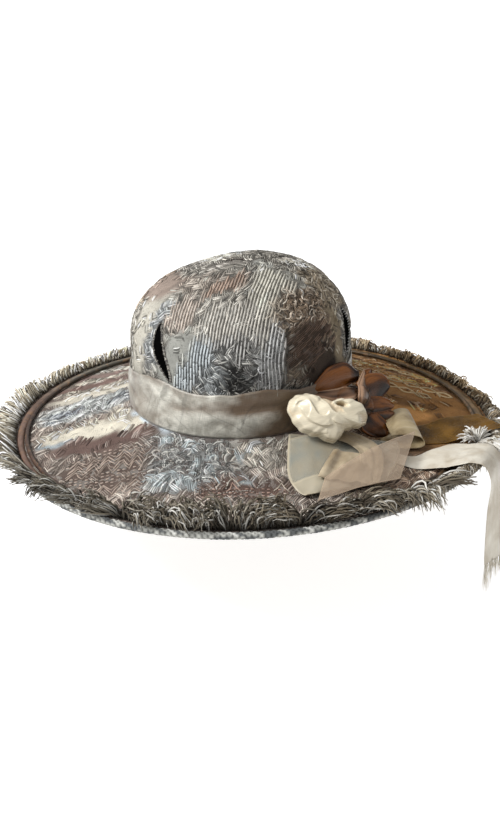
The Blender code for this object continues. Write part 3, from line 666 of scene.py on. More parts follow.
def crownSkin(angle, height, depth):
    # the crown's outer cloth with its puckers and the dent above the fold
    degree = degreeOf(angle)
    points = crownPlace(angle, height, depth)
    swell = crownLook["pucker"] * grain(points, 17.0, 3.0) + 0.25 * grain(points, 6.0, 8.0)
    dent = crownLook["dent"]
    aside, above = (degree - dent["degree"]) / dent["half"], (height - dent["height"]) / dent["halfTall"]
    sunk = dent["depth"] * np.exp(-(aside ** 2 + above ** 2)) - swell
    return crownPlace(angle, height, depth + sunk * ramp(0.0, 30.0, height))


def paintCrown(degree, distance):
    flatU = roundAngle(degree + 90.0) * flatPerDegree
    patches = [(roundAngle(a + 90.0) * flatPerDegree, v, hu, hv, t, w, c, s)
               for a, v, hu, hv, t, w, c, s in
               backPatches(34, 5, ((25, 205), (40, 168)), (12, 30), crownDyes) + crownLook["patches"]]
    return paintPatches(flatU, distance, patches, crownLook["base"])


def placeCrown(across, along):
    angle = np.radians(hat["seam"]) + across * 2.0 * np.pi
    dome, wall, inside = crownLook["domeRows"], crownLook["wallRows"], crownLook["insideRows"]
    straight, quarter = hat["straight"], crownLook["bend"] * np.pi / 2
    # rows run from the inside's top down to the edge and up the outside
    distances = np.concatenate([
        np.linspace(straight + quarter, straight, inside), np.linspace(straight, 0.3, 6)[1:],
        np.linspace(0.3, straight, wall), np.linspace(straight, straight + quarter, dome)])
    under = np.concatenate([np.full(inside + 5, hat["wall"]), np.zeros(wall + dome)])
    row = np.rint(along * (len(distances) - 1)).astype(int)
    distance, depth = distances[row], under[row]
    height = crownRise(distance)[1]
    outside = depth == 0.0
    degree = degreeOf(angle)
    for dart in darts.values():
        off = dartOff(dart, degree, height)
        depth = depth + np.where(outside, 2.2 * ramp(0.9, -0.6, off), 0.0)
    points = np.where(outside[:, None], crownSkin(angle, height, depth),
                      crownPlace(angle, height, depth))
    dye = paintCrown(degree, distance)[1]
    flatU = roundAngle(degree + 90.0) * flatPerDegree
    # over the top the cloth lies flat, so its weave runs on a plan
    onTop = (distance > 150.0)[:, None]
    weave = np.where(onTop, points[:, :2], np.stack([flatU, distance], 1))
    return {"points": points, "weave": weave, "dye": dye, "inner": np.where(outside, 0.0, 1.0)}


def linedFaces(piece):
    # second material for faces that the layer inner marks
    mesh = piece.data
    values = np.empty(len(mesh.loops), np.float32)
    mesh.attributes["inner"].data.foreach_get("value", values)
    starts, totals = np.empty((2, len(mesh.polygons)), np.int32)
    mesh.polygons.foreach_get("loop_start", starts)
    mesh.polygons.foreach_get("loop_total", totals)
    share = np.add.reduceat(values, starts) / totals
    mesh.polygons.foreach_set("material_index", (share > 0.6).astype(np.int32))


crownRows = crownLook["domeRows"] + crownLook["wallRows"] + crownLook["insideRows"] + 4
linedFaces(clothGrid("crownShell", crownLook["columns"], crownRows, placeCrown,
                     [crownCloth, innerCloth], "crown", "crown_brocade", closed=True))


# Crown's stitches

def crownGo(degree, distance, heading, length):
    narrow = np.maximum(crownRise(distance)[0], 0.08)
    return (degree + length * np.cos(heading) / (flatPerDegree * narrow),
            distance + length * np.sin(heading))


def crownAt(degree, distance, lift):
    return crownSkin(np.radians(degree), crownRise(distance)[1], -lift)


def crownInside(degree, distance):
    low, high = crownLook["sewn"]
    inside = (distance > low) & (distance < high)
    for dart in darts.values():
        inside &= dartOff(dart, degree, crownRise(distance)[1]) > 0.5
    return inside


def crownDye(degree, distance):
    return paintCrown(roundAngle(degree), distance)


crownSurface = {"go": crownGo, "at": crownAt, "inside": crownInside, "paint": crownDye,
                "node": "crown", "slot": "crown_brocade"}


def crownSpots(spacing, dice):
    rows = []
    low, high = crownLook["sewn"]
    for distance in np.arange(low + 3.0, high - 2.0, spacing):
        count = max(4, int(360.0 * flatPerDegree * crownRise(distance)[0] / spacing))
        degree = (np.arange(count) + dice.uniform()) * 360.0 / count
        rows.append(np.stack([degree, np.full(count, distance)]))
    spots = np.concatenate(rows, 1)
    jitter = dice.uniform(-0.3, 0.3, spots.shape) * spacing
    degree, distance = crownGo(spots[0], spots[1], 0.0, jitter[0])
    return roundAngle(degree), distance + jitter[1]


def weaveAt(kinds, dice):
    # weave that rules at each place, mixed where patches meet
    sure = kinds.max(axis=1) + dice.uniform(-0.3, 0.3, len(kinds)) > 0.5
    return np.where(sure, kinds.argmax(axis=1), hatchWeave)


def drawnOut(heading, axis, factor):
    # headings of strokes whose cloth is stretched along an axis
    away = heading - axis
    return axis + np.arctan2(np.sin(away), np.cos(away) * factor)


def plaitHeadings(spots, size, dice):
    # most bundles cross their neighbours, as in a plait
    cell = (np.floor(spots[0] / size) + np.floor(spots[1] / size)) % 2.0
    heading = np.radians(42.0 + 90.0 * cell) + dice.normal(0.0, 0.16, len(cell))
    stray = dice.uniform(size=len(cell)) < 0.25
    return np.where(stray, dice.uniform(0.0, np.pi, len(cell)), heading)


def crownHatch():
    look = crownLook["hatch"]
    dice = np.random.default_rng(look["seed"])
    spots = crownSpots(look["spacing"], dice)
    weave = weaveAt(paintCrown(*spots)[0], dice)
    keep = (weave == hatchWeave) | ((weave == plainWeave) & (dice.uniform(size=len(weave)) < 0.14))
    keep |= (weave == ribsWeave) & (dice.uniform(size=len(weave)) < 0.08)
    spots = spots[0][keep], spots[1][keep]
    heading = plaitHeadings((spots[0] * flatPerDegree, spots[1]), look["spacing"], dice)
    # near the top the strokes are drawn out from front to back
    side = np.radians(spots[0] + 65.0)
    heading = drawnOut(heading, np.arctan2(-np.cos(side), -np.sin(side)),
                       1.0 + 1.4 * ramp(80.0, 150.0, spots[1]))
    firsts, seconds, dye, which = bundleStrokes(
        crownSurface, spots, heading, look, dice, lambda count: dice.normal(0.0, 0.35, count), 4)
    pale = dice.uniform(0.75, 1.2, len(spots[0]))[which]
    tones = stitchTones(dye, dice) * pale[:, None]
    sewStitches("crownHatch", crownSurface, firsts, seconds, dice.uniform(0.5, 0.76, len(dye)), tones)


def crownCurls():
    look = crownLook["curls"]
    dice = np.random.default_rng(look["seed"])
    spots = crownSpots(look["spacing"], dice)
    keep = weaveAt(paintCrown(*spots)[0], dice) == curlsWeave
    spots = spots[0][keep], spots[1][keep]
    heading = dice.uniform(0.0, 2.0 * np.pi, len(spots[0]))
    firsts, seconds, dye, _ = bundleStrokes(
        crownSurface, spots, heading, look, dice,
        lambda count: dice.choice((-1.0, 1.0), count) * dice.uniform(1.2, 3.6, count), 7)
    sewStitches("crownCurls", crownSurface, firsts, seconds, dice.uniform(0.45, 0.75, len(dye)),
                stitchTones(dye, dice, 1.15))


def ribRuns(distance):
    # lines of the ribs: angles at distances up the crown, and where each line is drawn
    look = crownLook["ribs"]
    narrow, height = crownRise(distance)
    dome = np.clip((height - hat["straight"]) / hat["dome"], 0.0, 1.0)
    shift = hat["lean"] * dome ** 4
    # in front they lie on upright planes side by side, so they sweep over the top
    heading, leaning = radians(look["planeHeading"]), radians(hat["leanHeading"])
    acrossWidth = narrow * hat["halfWidth"] * cos(heading)
    acrossLength = narrow * hat["halfLength"] * sin(heading)
    reach = np.hypot(acrossWidth, acrossLength)
    low, high = look["front"]
    for plane in np.arange(-96.0, 96.0, look["pitch"]):
        sway = 1.5 * grain2(np.full(len(distance), plane), distance, 26.0, 5.0)
        share = (plane + sway - shift * cos(leaning - heading)) / np.maximum(reach, 1.0)
        degree = np.degrees(np.arctan2(acrossLength, acrossWidth) - np.arccos(np.clip(share, -1.0, 1.0)))
        yield degree, (np.abs(share) < 0.98) & (degree > low) & ((degree < high) | (distance > 98.0))
    # behind they follow the crown's own upright lines
    for degree in np.arange(4.0, 226.0, look["pitch"] / flatPerDegree):
        yield (np.full(len(distance), roundAngle(degree)),
               (distance < 128.0) & (np.abs(degree - 115.0) < 108.0))


def crownRibs():
    # cords of the ribbed patches, cut into stitches of four strides
    look, finer = crownLook["ribs"], crownLook["fineRibs"]
    dice = np.random.default_rng(look["seed"])
    low, high = crownLook["sewn"]
    distance = np.arange(low + 1.0, high, look["stride"])
    firsts, seconds, shades = [], [], []
    for degree, drawn in ribRuns(distance):
        shade = dice.uniform(1.25, 1.85)
        for start in range(int(dice.integers(0, 4)), len(distance) - 5, 4):
            if drawn[start:start + 5].all():
                firsts.append(degree[start:start + 5])
                seconds.append(distance[start:start + 5])
                shades.append(shade * dice.uniform(0.85, 1.15))
    # right of the fold the ribs are finer and climb to the right
    slant, (degree, up), (wide, long) = radians(finer["slant"]), finer["centre"], finer["reach"]
    across, along = np.meshgrid(np.arange(-wide, wide, finer["pitch"]), np.arange(-long, long, 8.0),
                                indexing="ij")
    along = along + dice.uniform(0.0, 8.0, len(across))[:, None]
    across, along = across.ravel(), along.ravel()
    start = crownGo(degree + (along * cos(slant) - across * sin(slant)) / flatPerDegree,
                    up + along * sin(slant) + across * cos(slant), slant, -finer["length"] / 2)
    fine = walk(crownSurface, *start, np.full(len(across), slant), 0.12, finer["length"], 5)
    beside = foldDistance(np.radians(fine[0]), fine[1]) > 0.8
    beside = (beside & (fine[1] < 98.0) & (fine[0] < 8.0)).all(axis=1)
    radii = np.concatenate([dice.uniform(0.78, 1.0, len(firsts)), dice.uniform(0.45, 0.6, beside.sum())])
    shades = np.concatenate([shades, dice.uniform(1.3, 4.0, beside.sum())])
    firsts = np.concatenate([firsts, fine[0][beside]])
    seconds = np.concatenate([seconds, fine[1][beside]])
    kinds, dye = crownDye(firsts[:, 2], seconds[:, 2])
    keep = kinds[:, ribsWeave] > dice.uniform(0.15, 0.55, len(kinds))
    tones = np.clip(dye[:, :3] * shades[:, None], 0.0, 0.58)[keep]
    sewStitches("crownRibs", crownSurface, firsts[keep], seconds[keep], radii[keep], tones, fine=0.1)


crownHatch()
crownCurls()
crownRibs()


# Darts: black velvet spindles with a rolled lip, the right one with white stitches

dartLook = {
    "grid": (10, 60), "wall": 0.8, "sunk": 0.5, "seed": 7, "lipThreads": 150,
    "stitchStep": 2.3, "white": (0.75, 0.75, 0.73),
    "lipShades": [(0.3, 0.28, 0.24), (0.16, 0.15, 0.14), (0.09, 0.085, 0.08), (0.45, 0.43, 0.38)],
}


def makeDart(name, dart):
    def place(across, along):
        at = dart["from"] + 0.1 + along * (dart["to"] - dart["from"] - 0.2)
        centre, width = dartEdge(dart, at)
        side = 2.0 * across - 1.0
        angle = np.radians(centre) + side * (width + 0.5) / hat["halfWidth"]
        sink = dartLook["sunk"] + 0.5 * (1.0 - np.abs(side) ** 3) * (width / dart["half"]) ** 2
        return {"points": crownPlace(angle, at, sink)}

    clothGrid(name, *dartLook["grid"], place, velvet, dart["node"], "black_velvet",
              thickness=-dartLook["wall"])
    # the lip: short threads laid round both edges
    dice = np.random.default_rng(dartLook["seed"])
    count = dartLook["lipThreads"]
    roots, ends, mids = [], [], []
    for side in (-1.0, 1.0):
        at = np.linspace(dart["from"] + 0.3, dart["to"] - 0.3, count)
        centre, width = dartEdge(dart, at)
        edge = np.radians(centre) + side * (width + 0.25) / hat["halfWidth"]
        over = np.radians(centre) + side * (width - dice.uniform(-0.3, 0.4, count)) / hat["halfWidth"]
        out = np.radians(centre) + side * (width + dice.uniform(1.2, 2.2, count)) / hat["halfWidth"]
        tilt = dice.uniform(-1.6, 1.6, count)
        roots.append(crownPlace(out, at, 0.1))
        mids.append(crownPlace(edge, at + tilt * 0.5, -dice.uniform(0.5, 1.1, count)))
        ends.append(crownPlace(over, at + tilt, 0.2))
    root, mid, end = (np.concatenate(rows) for rows in (roots, mids, ends))
    pick = np.array(dartLook["lipShades"])[dice.integers(0, 4, len(root))]
    yarnMesh(name + "Lip", bentPaths(root, mid, mid, end, 5), dice.uniform(0.22, 0.4, len(root)),
             (pick, pick * 0.8), yarnStuff, None, "crown_brocade")


def sewDart(dart):
    # white stitches over the edge of a dart
    at = np.arange(dart["from"] + 2.0, dart["to"] - 1.0, dartLook["stitchStep"])
    middle, half = dartEdge(dart, at)
    inner = np.radians(middle) + (half - 1.6) / hat["halfWidth"]
    outer = np.radians(middle) + (half + 0.9) / hat["halfWidth"]
    top = crownPlace(0.5 * (inner + outer), at + 0.3, -0.75)
    paths = bentPaths(crownPlace(inner, at, 0.5), top, top, crownPlace(outer, at + 0.6, 0.0), 5)
    white = np.tile(dartLook["white"], (len(at), 1))
    yarnMesh("dartStitches", paths, np.full(len(at), 0.28), (white, white), yarnStuff, None,
             "white_yarn", 4)


for dartName, dart in darts.items():
    makeDart(dartName, dart)
sewDart(darts["dartRight"])
print("scene: crown made")


# Brim

brimLook = {
    "columns": 380, "topRows": 44, "underRows": 6, "inner": 86.0, "outer": 200.3, "pucker": 0.45,
    "turn": 25.0,     # the bands of its weave run this far round from the wearer's left
    # brown: tint of the cloth's golden brown and of the painted warm light on the wearer's left
    "drawnOut": 1.8, "brown": (1.62, 0.8, 0.26),
    "reach": 225.0, "sewn": (91.5, 183.4),     # of its plan, and the radii that have stitches
    "hatch": {"seed": 13, "strands": 5, "pitch": 1.65, "length": (7.0, 11.0), "spacing": 6.2},
    "curls": {"seed": 18, "strands": 2, "pitch": 1.8, "length": (5.0, 11.0), "spacing": 3.9},
    "motif": {"seed": 23, "tooth": 12.5, "tall": 8.5, "pitch": 4.0, "cycle": 9, "zigzags": 5},
    "dots": {"seed": 29, "lines": 34, "dots": 11, "pitch": 2.4, "length": 1.2, "tone": (0.48, 0.45, 0.4),
             "u": (-70.0, 60.0), "v": (-162.0, -98.0)},
    "chains": {"seed": 27, "loop": 15.0, "half": 5.6, "tone": (0.5, 0.38, 0.22),
               "lines": [(100, 83, 190, 53), (108, 58, 172, 36), (128, 118, 186, 94)]},
    "patches": [      # right, back, half width, half depth, turn, weave, dye, strength
        (-135, 97, 45, 24, -6, plainWeave, (0.225, 0.165, 0.145), 0.1),
        (-128, 124, 40, 12, -12, hatchWeave, (0.3, 0.28, 0.24), 0.85),
        (-118, 83, 42, 8, -10, hatchWeave, (0.25, 0.225, 0.185), 0.8),
        (-120, 63, 48, 9, -10, plainWeave, (0.17, 0.115, 0.098), 0.1),
        (-118, 47, 46, 6, -12, hatchWeave, (0.27, 0.24, 0.2), 0.8),
        (-124, 31, 44, 10, -12, plainWeave, (0.54, 0.5, 0.42), 0.1),
        (-130, 0, 42, 22, -12, hatchWeave, (0.31, 0.32, 0.31), 0.8),
        (-150, 2, 14, 10, -14, curlsWeave, (0.14, 0.15, 0.165), 0.9),
        (-100, -6, 12, 9, 0, curlsWeave, (0.14, 0.15, 0.16), 0.9),
        (-116, -49, 46, 12, -10, plainWeave, (0.56, 0.52, 0.43), 0.1),
        (-95, -40, 16, 9, -30, hatchWeave, (0.4, 0.37, 0.31), 0.5),
        (-70, -64, 30, 5, -56, plainWeave, (0.5, 0.56, 0.6), 0.05),
        (-155, -56, 12, 6, -10, plainWeave, (0.27, 0.31, 0.33), 0.1),
        (-112, -74, 42, 10, -8, plainWeave, (0.115, 0.077, 0.066), 0.1),
        (-98, -112, 44, 26, -4, motifWeave, (0.125, 0.1, 0.083), 0.95),
        (-36, -116, 36, 30, 0, curlsWeave, (0.15, 0.15, 0.143), 0.9),
        (-46, -146, 34, 10, 0, hatchWeave, (0.2, 0.205, 0.2), 0.9),
        (4, -153, 42, 11, 2, motifWeave, (0.13, 0.088, 0.07), 0.95),
        (14, -112, 28, 18, 0, hatchWeave, (0.26, 0.238, 0.205), 1.0),
        (58, -120, 26, 34, 0, hatchWeave, (0.21, 0.185, 0.152), 0.9),
        (95, -95, 30, 30, 0, hatchWeave, (0.2, 0.15, 0.11), 0.9),
        (150, -20, 48, 60, 0, plainWeave, (0.2, 0.14, 0.09), 0.1),
        (138, 52, 54, 22, -6, plainWeave, (0.25, 0.19, 0.125), 0.1),
        (120, 96, 46, 9, -14, curlsWeave, (0.25, 0.19, 0.125), 0.75),
        (142, 14, 34, 10, 6, plainWeave, (0.16, 0.1, 0.055), 0.1),
        (141, -10, 20, 13, -8, plainWeave, (0.42, 0.29, 0.15), 0.1),
        (178, 16, 14, 30, 0, plainWeave, (0.2, 0.15, 0.1), 0.1),
    ],
    "base": (0.21, 0.175, 0.15, 0.95),
}
appliqueDice = random.Random(11)     # small pale blue shapes in front
appliques = [(appliqueDice.uniform(-66, 12), appliqueDice.uniform(-152, -98), appliqueDice.uniform(3, 6),
              appliqueDice.uniform(2, 4), appliqueDice.uniform(0, 90), hatchWeave,
              (0.3, 0.335, 0.34), 0.35) for _ in range(26)]
brimDyes = [((0.2, 0.155, 0.13), 0.9), ((0.27, 0.275, 0.265), 0.9), ((0.5, 0.47, 0.4), 0.7),
            ((0.155, 0.098, 0.05), 0.85), ((0.21, 0.175, 0.15), 0.95), ((0.12, 0.08, 0.05), 0.8)]


def planTurned(points):
    turn = radians(brimLook["turn"])
    return (points[:, 0] * cos(turn) + points[:, 1] * sin(turn),
            -points[:, 0] * sin(turn) + points[:, 1] * cos(turn))


def paintBrim(u, v):
    unseen = backPatches(40, 9, ((-150, 200), (60, 220)), (16, 44), brimDyes)
    kinds, dye = paintPatches(u, v, unseen + brimLook["patches"] + appliques, brimLook["base"])
    # to the wearer's left the cloth turns golden brown, partly its own colour and partly painted warm light
    # on that side
    brownAndWarmLight = (ramp(60.0, 120.0, u) * (0.3 + 0.7 * ramp(-95.0, -45.0, v)))[:, None]
    brown = (dye[:, :3] @ (0.3, 0.59, 0.11))[:, None] * brimLook["brown"]
    dye[:, :3] = dye[:, :3] * (1.0 - brownAndWarmLight) + brown * brownAndWarmLight
    return kinds, dye


def brimSwell(points, radius):
    # puckers of the brim's top, none at its edges
    low, high = brimLook["inner"], brimLook["outer"]
    swell = brimLook["pucker"] * grain(points, 22.0, 1.0) + 0.2 * grain(points, 7.0, 6.0)
    return swell * ramp(low, low + 8.0, radius) * ramp(high, high - 14.0, radius)


def placeBrim(across, along):
    angle = np.radians(hat["seam"]) + across * 2.0 * np.pi
    top, under = brimLook["topRows"], brimLook["underRows"]
    low, high = brimLook["inner"], brimLook["outer"]
    radii = np.concatenate([np.linspace(low, high, top), [high + 0.2], np.linspace(high, low, under), [low]])
    lifts = np.concatenate([np.zeros(top), [-hat["wall"] / 2], np.full(under, -hat["wall"]), [0.0]])
    row = np.rint(along * (len(radii) - 1)).astype(int)
    onTop = row < top
    points = brimPlace(radii[row], angle, lifts[row])
    points[:, 2] += np.where(onTop, brimSwell(points, radii[row]), 0.0)
    u, v = planTurned(points)
    dye = paintBrim(u, v)[1]
    return {"points": points, "weave": np.stack([u, v], 1), "dye": dye,
            "inner": np.where(onTop, 0.0, 1.0)}


linedFaces(clothGrid("brimCloth", brimLook["columns"], brimLook["topRows"] + brimLook["underRows"] + 1,
                     placeBrim, [brimCloth, underCloth], "brim", "brim_brocade", closed=True))


# Brim's stitches, on its turned plan

def brimGo(u, v, heading, length):
    return u + length * np.cos(heading), v + length * np.sin(heading)


def planBack(u, v):
    turn = radians(brimLook["turn"])
    return u * cos(turn) - v * sin(turn), u * sin(turn) + v * cos(turn)


def brimAt(u, v, lift):
    x, y = planBack(u, v)
    radius, angle = brimRadius(x, y)
    points = brimPlace(radius, angle, 0.0)
    points[:, 2] += brimSwell(points, radius) + lift
    return points


def brimInside(u, v):
    radius, _ = brimRadius(*planBack(u, v))
    low, high = brimLook["sewn"]
    return (radius > low) & (radius < high)


brimSurface = {"go": brimGo, "at": brimAt, "inside": brimInside, "paint": paintBrim,
               "node": "brim", "slot": "brim_brocade"}


def brimSpots(spacing, dice):
    reach = brimLook["reach"]
    u, v = np.meshgrid(np.arange(-reach, reach, spacing), np.arange(-reach, reach, spacing * 1.25))
    u, v = u.ravel(), v.ravel()
    u = u + dice.uniform(-0.35, 0.35, len(u)) * spacing
    v = v + dice.uniform(-0.4, 0.4, len(v)) * spacing
    keep = brimInside(u, v)
    return u[keep], v[keep]


def brimHeadings(spots, size, dice):
    # the cloth's strokes are drawn out from front to back
    return drawnOut(plaitHeadings(spots, size, dice), np.pi / 2, brimLook["drawnOut"])


def brimHatch():
    look = brimLook["hatch"]
    dice = np.random.default_rng(look["seed"])
    spots = brimSpots(look["spacing"], dice)
    weave = weaveAt(paintBrim(*spots)[0], dice)
    chance = dice.uniform(size=len(weave))
    keep = (weave == hatchWeave) | ((weave == plainWeave) & (chance < 0.15))
    keep |= (weave == motifWeave) & (chance < 0.12) | (weave == curlsWeave) & (chance < 0.3)
    spots = spots[0][keep], spots[1][keep]
    heading = brimHeadings(spots, look["spacing"], dice)
    firsts, seconds, dye, which = bundleStrokes(
        brimSurface, spots, heading, look, dice, lambda count: dice.normal(0.0, 0.4, count), 4)
    pale = dice.uniform(0.7, 1.25, len(spots[0]))[which]
    sewStitches("brimHatch", brimSurface, firsts, seconds, dice.uniform(0.5, 0.75, len(dye)),
                stitchTones(dye, dice) * pale[:, None])


def brimCurls():
    look = brimLook["curls"]
    dice = np.random.default_rng(look["seed"])
    spots = brimSpots(look["spacing"], dice)
    keep = weaveAt(paintBrim(*spots)[0], dice) == curlsWeave
    spots = spots[0][keep], spots[1][keep]
    heading = brimHeadings(spots, look["spacing"], dice)
    firsts, seconds, dye, _ = bundleStrokes(
        brimSurface, spots, heading, look, dice,
        lambda count: dice.choice((-1.0, 1.0), count) * dice.uniform(0.8, 3.4, count), 7)
    sewStitches("brimCurls", brimSurface, firsts, seconds, dice.uniform(0.5, 0.85, len(dye)),
                stitchTones(dye, dice))


def brimMotif():
    # rows of zigzag with rows of dots between
    look = brimLook["motif"]
    dice = np.random.default_rng(look["seed"])
    tooth, tall, reach = look["tooth"], look["tall"], brimLook["reach"]
    u, v = np.meshgrid(np.arange(-reach, reach, tooth), np.arange(-reach, reach, look["pitch"]))
    row = np.rint((v + reach) / look["pitch"]).astype(int) % look["cycle"]
    zigzag = row < look["zigzags"]
    share = np.linspace(0.0, 1.0, 5)
    peak = 1.0 - np.abs(2.0 * share - 1.0)
    firsts = u[zigzag][:, None] + tooth * share
    seconds = v[zigzag][:, None] + tall * peak + 0.8 * dice.normal(size=(zigzag.sum(), 5))
    seconds = seconds + 4.0 * grain2(firsts, seconds, 30.0, 2.0)
    firsts = firsts + 3.5 * grain2(firsts, seconds, 22.0, 7.0)
    dotU = (u[~zigzag][:, None] + np.array((0.0, 0.34, 0.67)) * tooth).ravel()
    dotV = np.repeat(v[~zigzag], 3) + tall * (1.0 - np.abs(2.0 * (dotU / tooth % 1.0) - 1.0))
    firsts = np.concatenate([firsts, dotU[:, None] + 2.4 * (share - 0.5)])
    seconds = np.concatenate([seconds, dotV[:, None] + 0.0 * share])
    kinds, dye = paintBrim(firsts[:, 2], seconds[:, 2])
    keep = kinds[:, motifWeave] > dice.uniform(0.2, 0.75, len(kinds))
    firsts, seconds, dye = firsts[keep], seconds[keep], dye[keep]
    tones = np.clip(dye[:, :3] * dice.uniform(1.7, 3.6, len(dye))[:, None], 0.0, 0.46)
    sewStitches("brimMotif", brimSurface, firsts, seconds, dice.uniform(0.5, 0.7, len(firsts)), tones)


def brimChains():
    # loops of golden cord that cross each other, to the wearer's left
    look = brimLook["chains"]
    dice = np.random.default_rng(look["seed"])
    loop = look["loop"]
    firsts, seconds = [], []
    for startU, startV, stopU, stopV in look["lines"]:
        length = np.hypot(stopU - startU, stopV - startV)
        heading = np.arctan2(stopV - startV, stopU - startU)
        for side in (-1.0, 1.0):
            for start in np.arange(0.0, length - loop, loop):
                along = start + np.linspace(0.0, loop, 9)
                off = side * look["half"] * np.sin(along * np.pi / loop) + 0.5 * dice.normal(size=9)
                firsts.append(startU + along * cos(heading) - off * sin(heading))
                seconds.append(startV + along * sin(heading) + off * cos(heading))
    firsts, seconds = np.array(firsts), np.array(seconds)
    tones = np.array(look["tone"]) * dice.uniform(0.75, 1.25, (len(firsts), 1))
    sewStitches("brimChains", brimSurface, firsts, seconds, dice.uniform(0.7, 0.95, len(firsts)), tones)


def brimDots():
    # pale dotted lines that wander over the front
    look = brimLook["dots"]
    dice = np.random.default_rng(look["seed"])
    lines, dots = look["lines"], look["dots"]
    start = [np.repeat(dice.uniform(*look[key], lines), dots) for key in ("u", "v")]
    heading = np.repeat(dice.uniform(0.0, np.pi, lines), dots)
    bend = np.repeat(dice.normal(0.0, 0.1, lines), dots)
    number = np.tile(np.arange(dots), lines)
    # each line is an arc, walked to the dot's place
    turned = heading + bend * number / 2
    u = start[0] + look["pitch"] * number * np.cos(turned)
    v = start[1] + look["pitch"] * number * np.sin(turned)
    firsts, seconds = walk(brimSurface, u, v, heading + bend * number, 0.0, look["length"], 3)
    tones = np.array(look["tone"]) * dice.uniform(0.7, 1.1, (len(u), 1))
    sewStitches("brimDots", brimSurface, firsts, seconds, np.full(len(u), 0.55), tones)


brimHatch()
brimCurls()
brimMotif()
brimChains()
brimDots()


# Rim: piping, satin binding and braided edging

rimTrim = {
    "pipingGrid": (620, 12), "bindingGrid": (480, 12), "edgingGrid": (2300, 10),
    "pipingAt": 186.4, "pipingThick": 3.6, "rest": 0.5,
    "bindingInner": 189.2, "bindingOuter": 195.2, "bindingWall": 1.0,
    "edgingAt": 202.9, "edgingHalf": (2.3, 3.2), "edgingLow": 1.9, "twist": 4.6,
    "tones": [   # angle, colour of the binding
        (-165, 0.13, 0.083, 0.063), (-130, 0.12, 0.072, 0.054), (-105, 0.06, 0.044, 0.036),
        (-30, 0.06, 0.044, 0.034), (0, 0.13, 0.078, 0.034), (60, 0.12, 0.074, 0.03),
        (110, 0.11, 0.085, 0.052), (165, 0.15, 0.137, 0.11),
    ],
    "braid": [(0.4, 0.4, 0.37), (0.28, 0.28, 0.26), (0.5, 0.5, 0.47), (0.1, 0.105, 0.105)],
}


def rimDye(angle, share):
    # colour of the rim's satin round the hat, darker in seams across it
    tones = np.stack(wrapTable(rimTrim["tones"], degreeOf(angle)), 1)
    blotch = 1.0 + 0.45 * grain2(angle * 34.0, share, 1.0, 12.0)
    blotch = blotch + 0.25 * grain2(angle * 110.0, share * 3.0, 1.0, 4.0)
    return opaque(tones * blotch[:, None])


def makeRimSatin(name, shade):
    # satin in the colours of the layer dye with painted copper glints, threads along the rim
    cloth = Cloth(name, roughness=0.36)
    where = cloth.weaveMap()
    threads = cloth.speckle(cloth.stretched(where, 0.08, 0.9), 3.0, 4.0)
    # painted glints: soft patches turned towards a copper highlight
    paintedGlint = cloth.fit(cloth.speckle(where, 0.11, 2.0, 0.6), 0.5, 0.72)
    tone = cloth.times(cloth.layer("dye", "Color"), cloth.scaled(threads, shade, 0.55 * shade))
    tone = cloth.between(cloth.product(paintedGlint, 0.45), tone, (0.3, 0.17, 0.085))
    return cloth.finish(tone, cloth.scaled(threads, 0.2, 0.28), 0.25, threads, 0.3, 0.35)


def placePiping(across, along):
    angle = across * 2.0 * np.pi
    turn = np.pi / 2 - along * 2.0 * np.pi
    half = rimTrim["pipingThick"] / 2
    crease = 1.0 + 0.07 * np.sin(angle * 260.0 + 3.0 * turn) + 0.05 * grain2(angle * 60.0, turn, 1.0)
    points = brimPlace(rimTrim["pipingAt"] + half * 0.95 * crease * np.cos(turn), angle,
                       rimTrim["rest"] + half + half * 0.95 * crease * np.sin(turn))
    return {"points": points, "weave": np.stack([angle * 186.0, along * 14.0], 1),
            "dye": rimDye(angle, along)}


def placeBinding(across, along):
    angle = across * 2.0 * np.pi
    share = along * 2.0
    low, high = rimTrim["bindingInner"], rimTrim["bindingOuter"]
    top = share < 1.0
    radius = np.where(top, low + (high - low) * share, high - (high - low) * (share - 1.0))
    puff = np.sin(np.pi * (radius - low) / (high - low)) ** 0.5
    wrinkle = 0.25 * grain2(angle * 186.0 / 5.0, share, 1.0, 2.0) * puff
    lift = np.where(top, 0.6 + rimTrim["bindingWall"] * puff + wrinkle, rimTrim["rest"])
    return {"points": brimPlace(radius, angle, lift), "weave": np.stack([angle * 192.0, radius], 1),
            "dye": rimDye(angle, radius / 3.0)}


def placeEdging(across, along):
    angle = across * 2.0 * np.pi
    turn = np.pi / 2 - along * 2.0 * np.pi
    # a braid: its strands meet in chevrons along the middle
    strands = np.rint(2.0 * np.pi * 205.0 / rimTrim["twist"])
    half = np.abs(turn + np.pi / 2)
    phase = 5.5 * np.abs(half - np.pi / 2) + angle * strands + 0.6 * grain2(angle * 60.0, turn, 1.0, 6.0)
    rope = 1.0 - 0.22 * (0.5 + 0.5 * np.cos(phase)) ** 2 + 0.05 * grain2(angle * 90.0, turn, 1.0, 2.0)
    halfWidth, halfHeight = rimTrim["edgingHalf"]
    points = brimPlace(rimTrim["edgingAt"] + halfWidth * rope * np.cos(turn), angle,
                       -rimTrim["edgingLow"] + halfHeight * rope * np.sin(turn))
    strand = np.floor(phase / (2.0 * np.pi)).astype(int) + 20 + 1500 * (half > np.pi / 2)
    pick = np.random.default_rng(6).uniform(size=3000)[strand % 3000]
    # cream at the wearer's right, darker flecks in front, browner and darker to the left, partly its own
    # colour and partly painted warm light
    dark = ramp(-165.0, -95.0, degreeOf(angle))
    shade = np.select([pick < 0.35, pick < 0.6, pick < 0.68 + 0.32 * (1.0 - dark)], [0, 1, 2], 3)
    tone = np.array(rimTrim["braid"])[shade]
    # painted shade in the grooves between the braid's strands
    grooveShade = (0.35 + 0.65 * (1.0 - (0.5 + 0.5 * np.cos(phase)) ** 2))[:, None]
    brownAndWarmLight = ramp(-20.0, 60.0, roundAngle(np.degrees(angle) + 40.0))[:, None]
    tone = tone * grooveShade * (1.0 - brownAndWarmLight * np.array((0.45, 0.55, 0.65)))
    return {"points": points, "yarn": opaque(tone)}


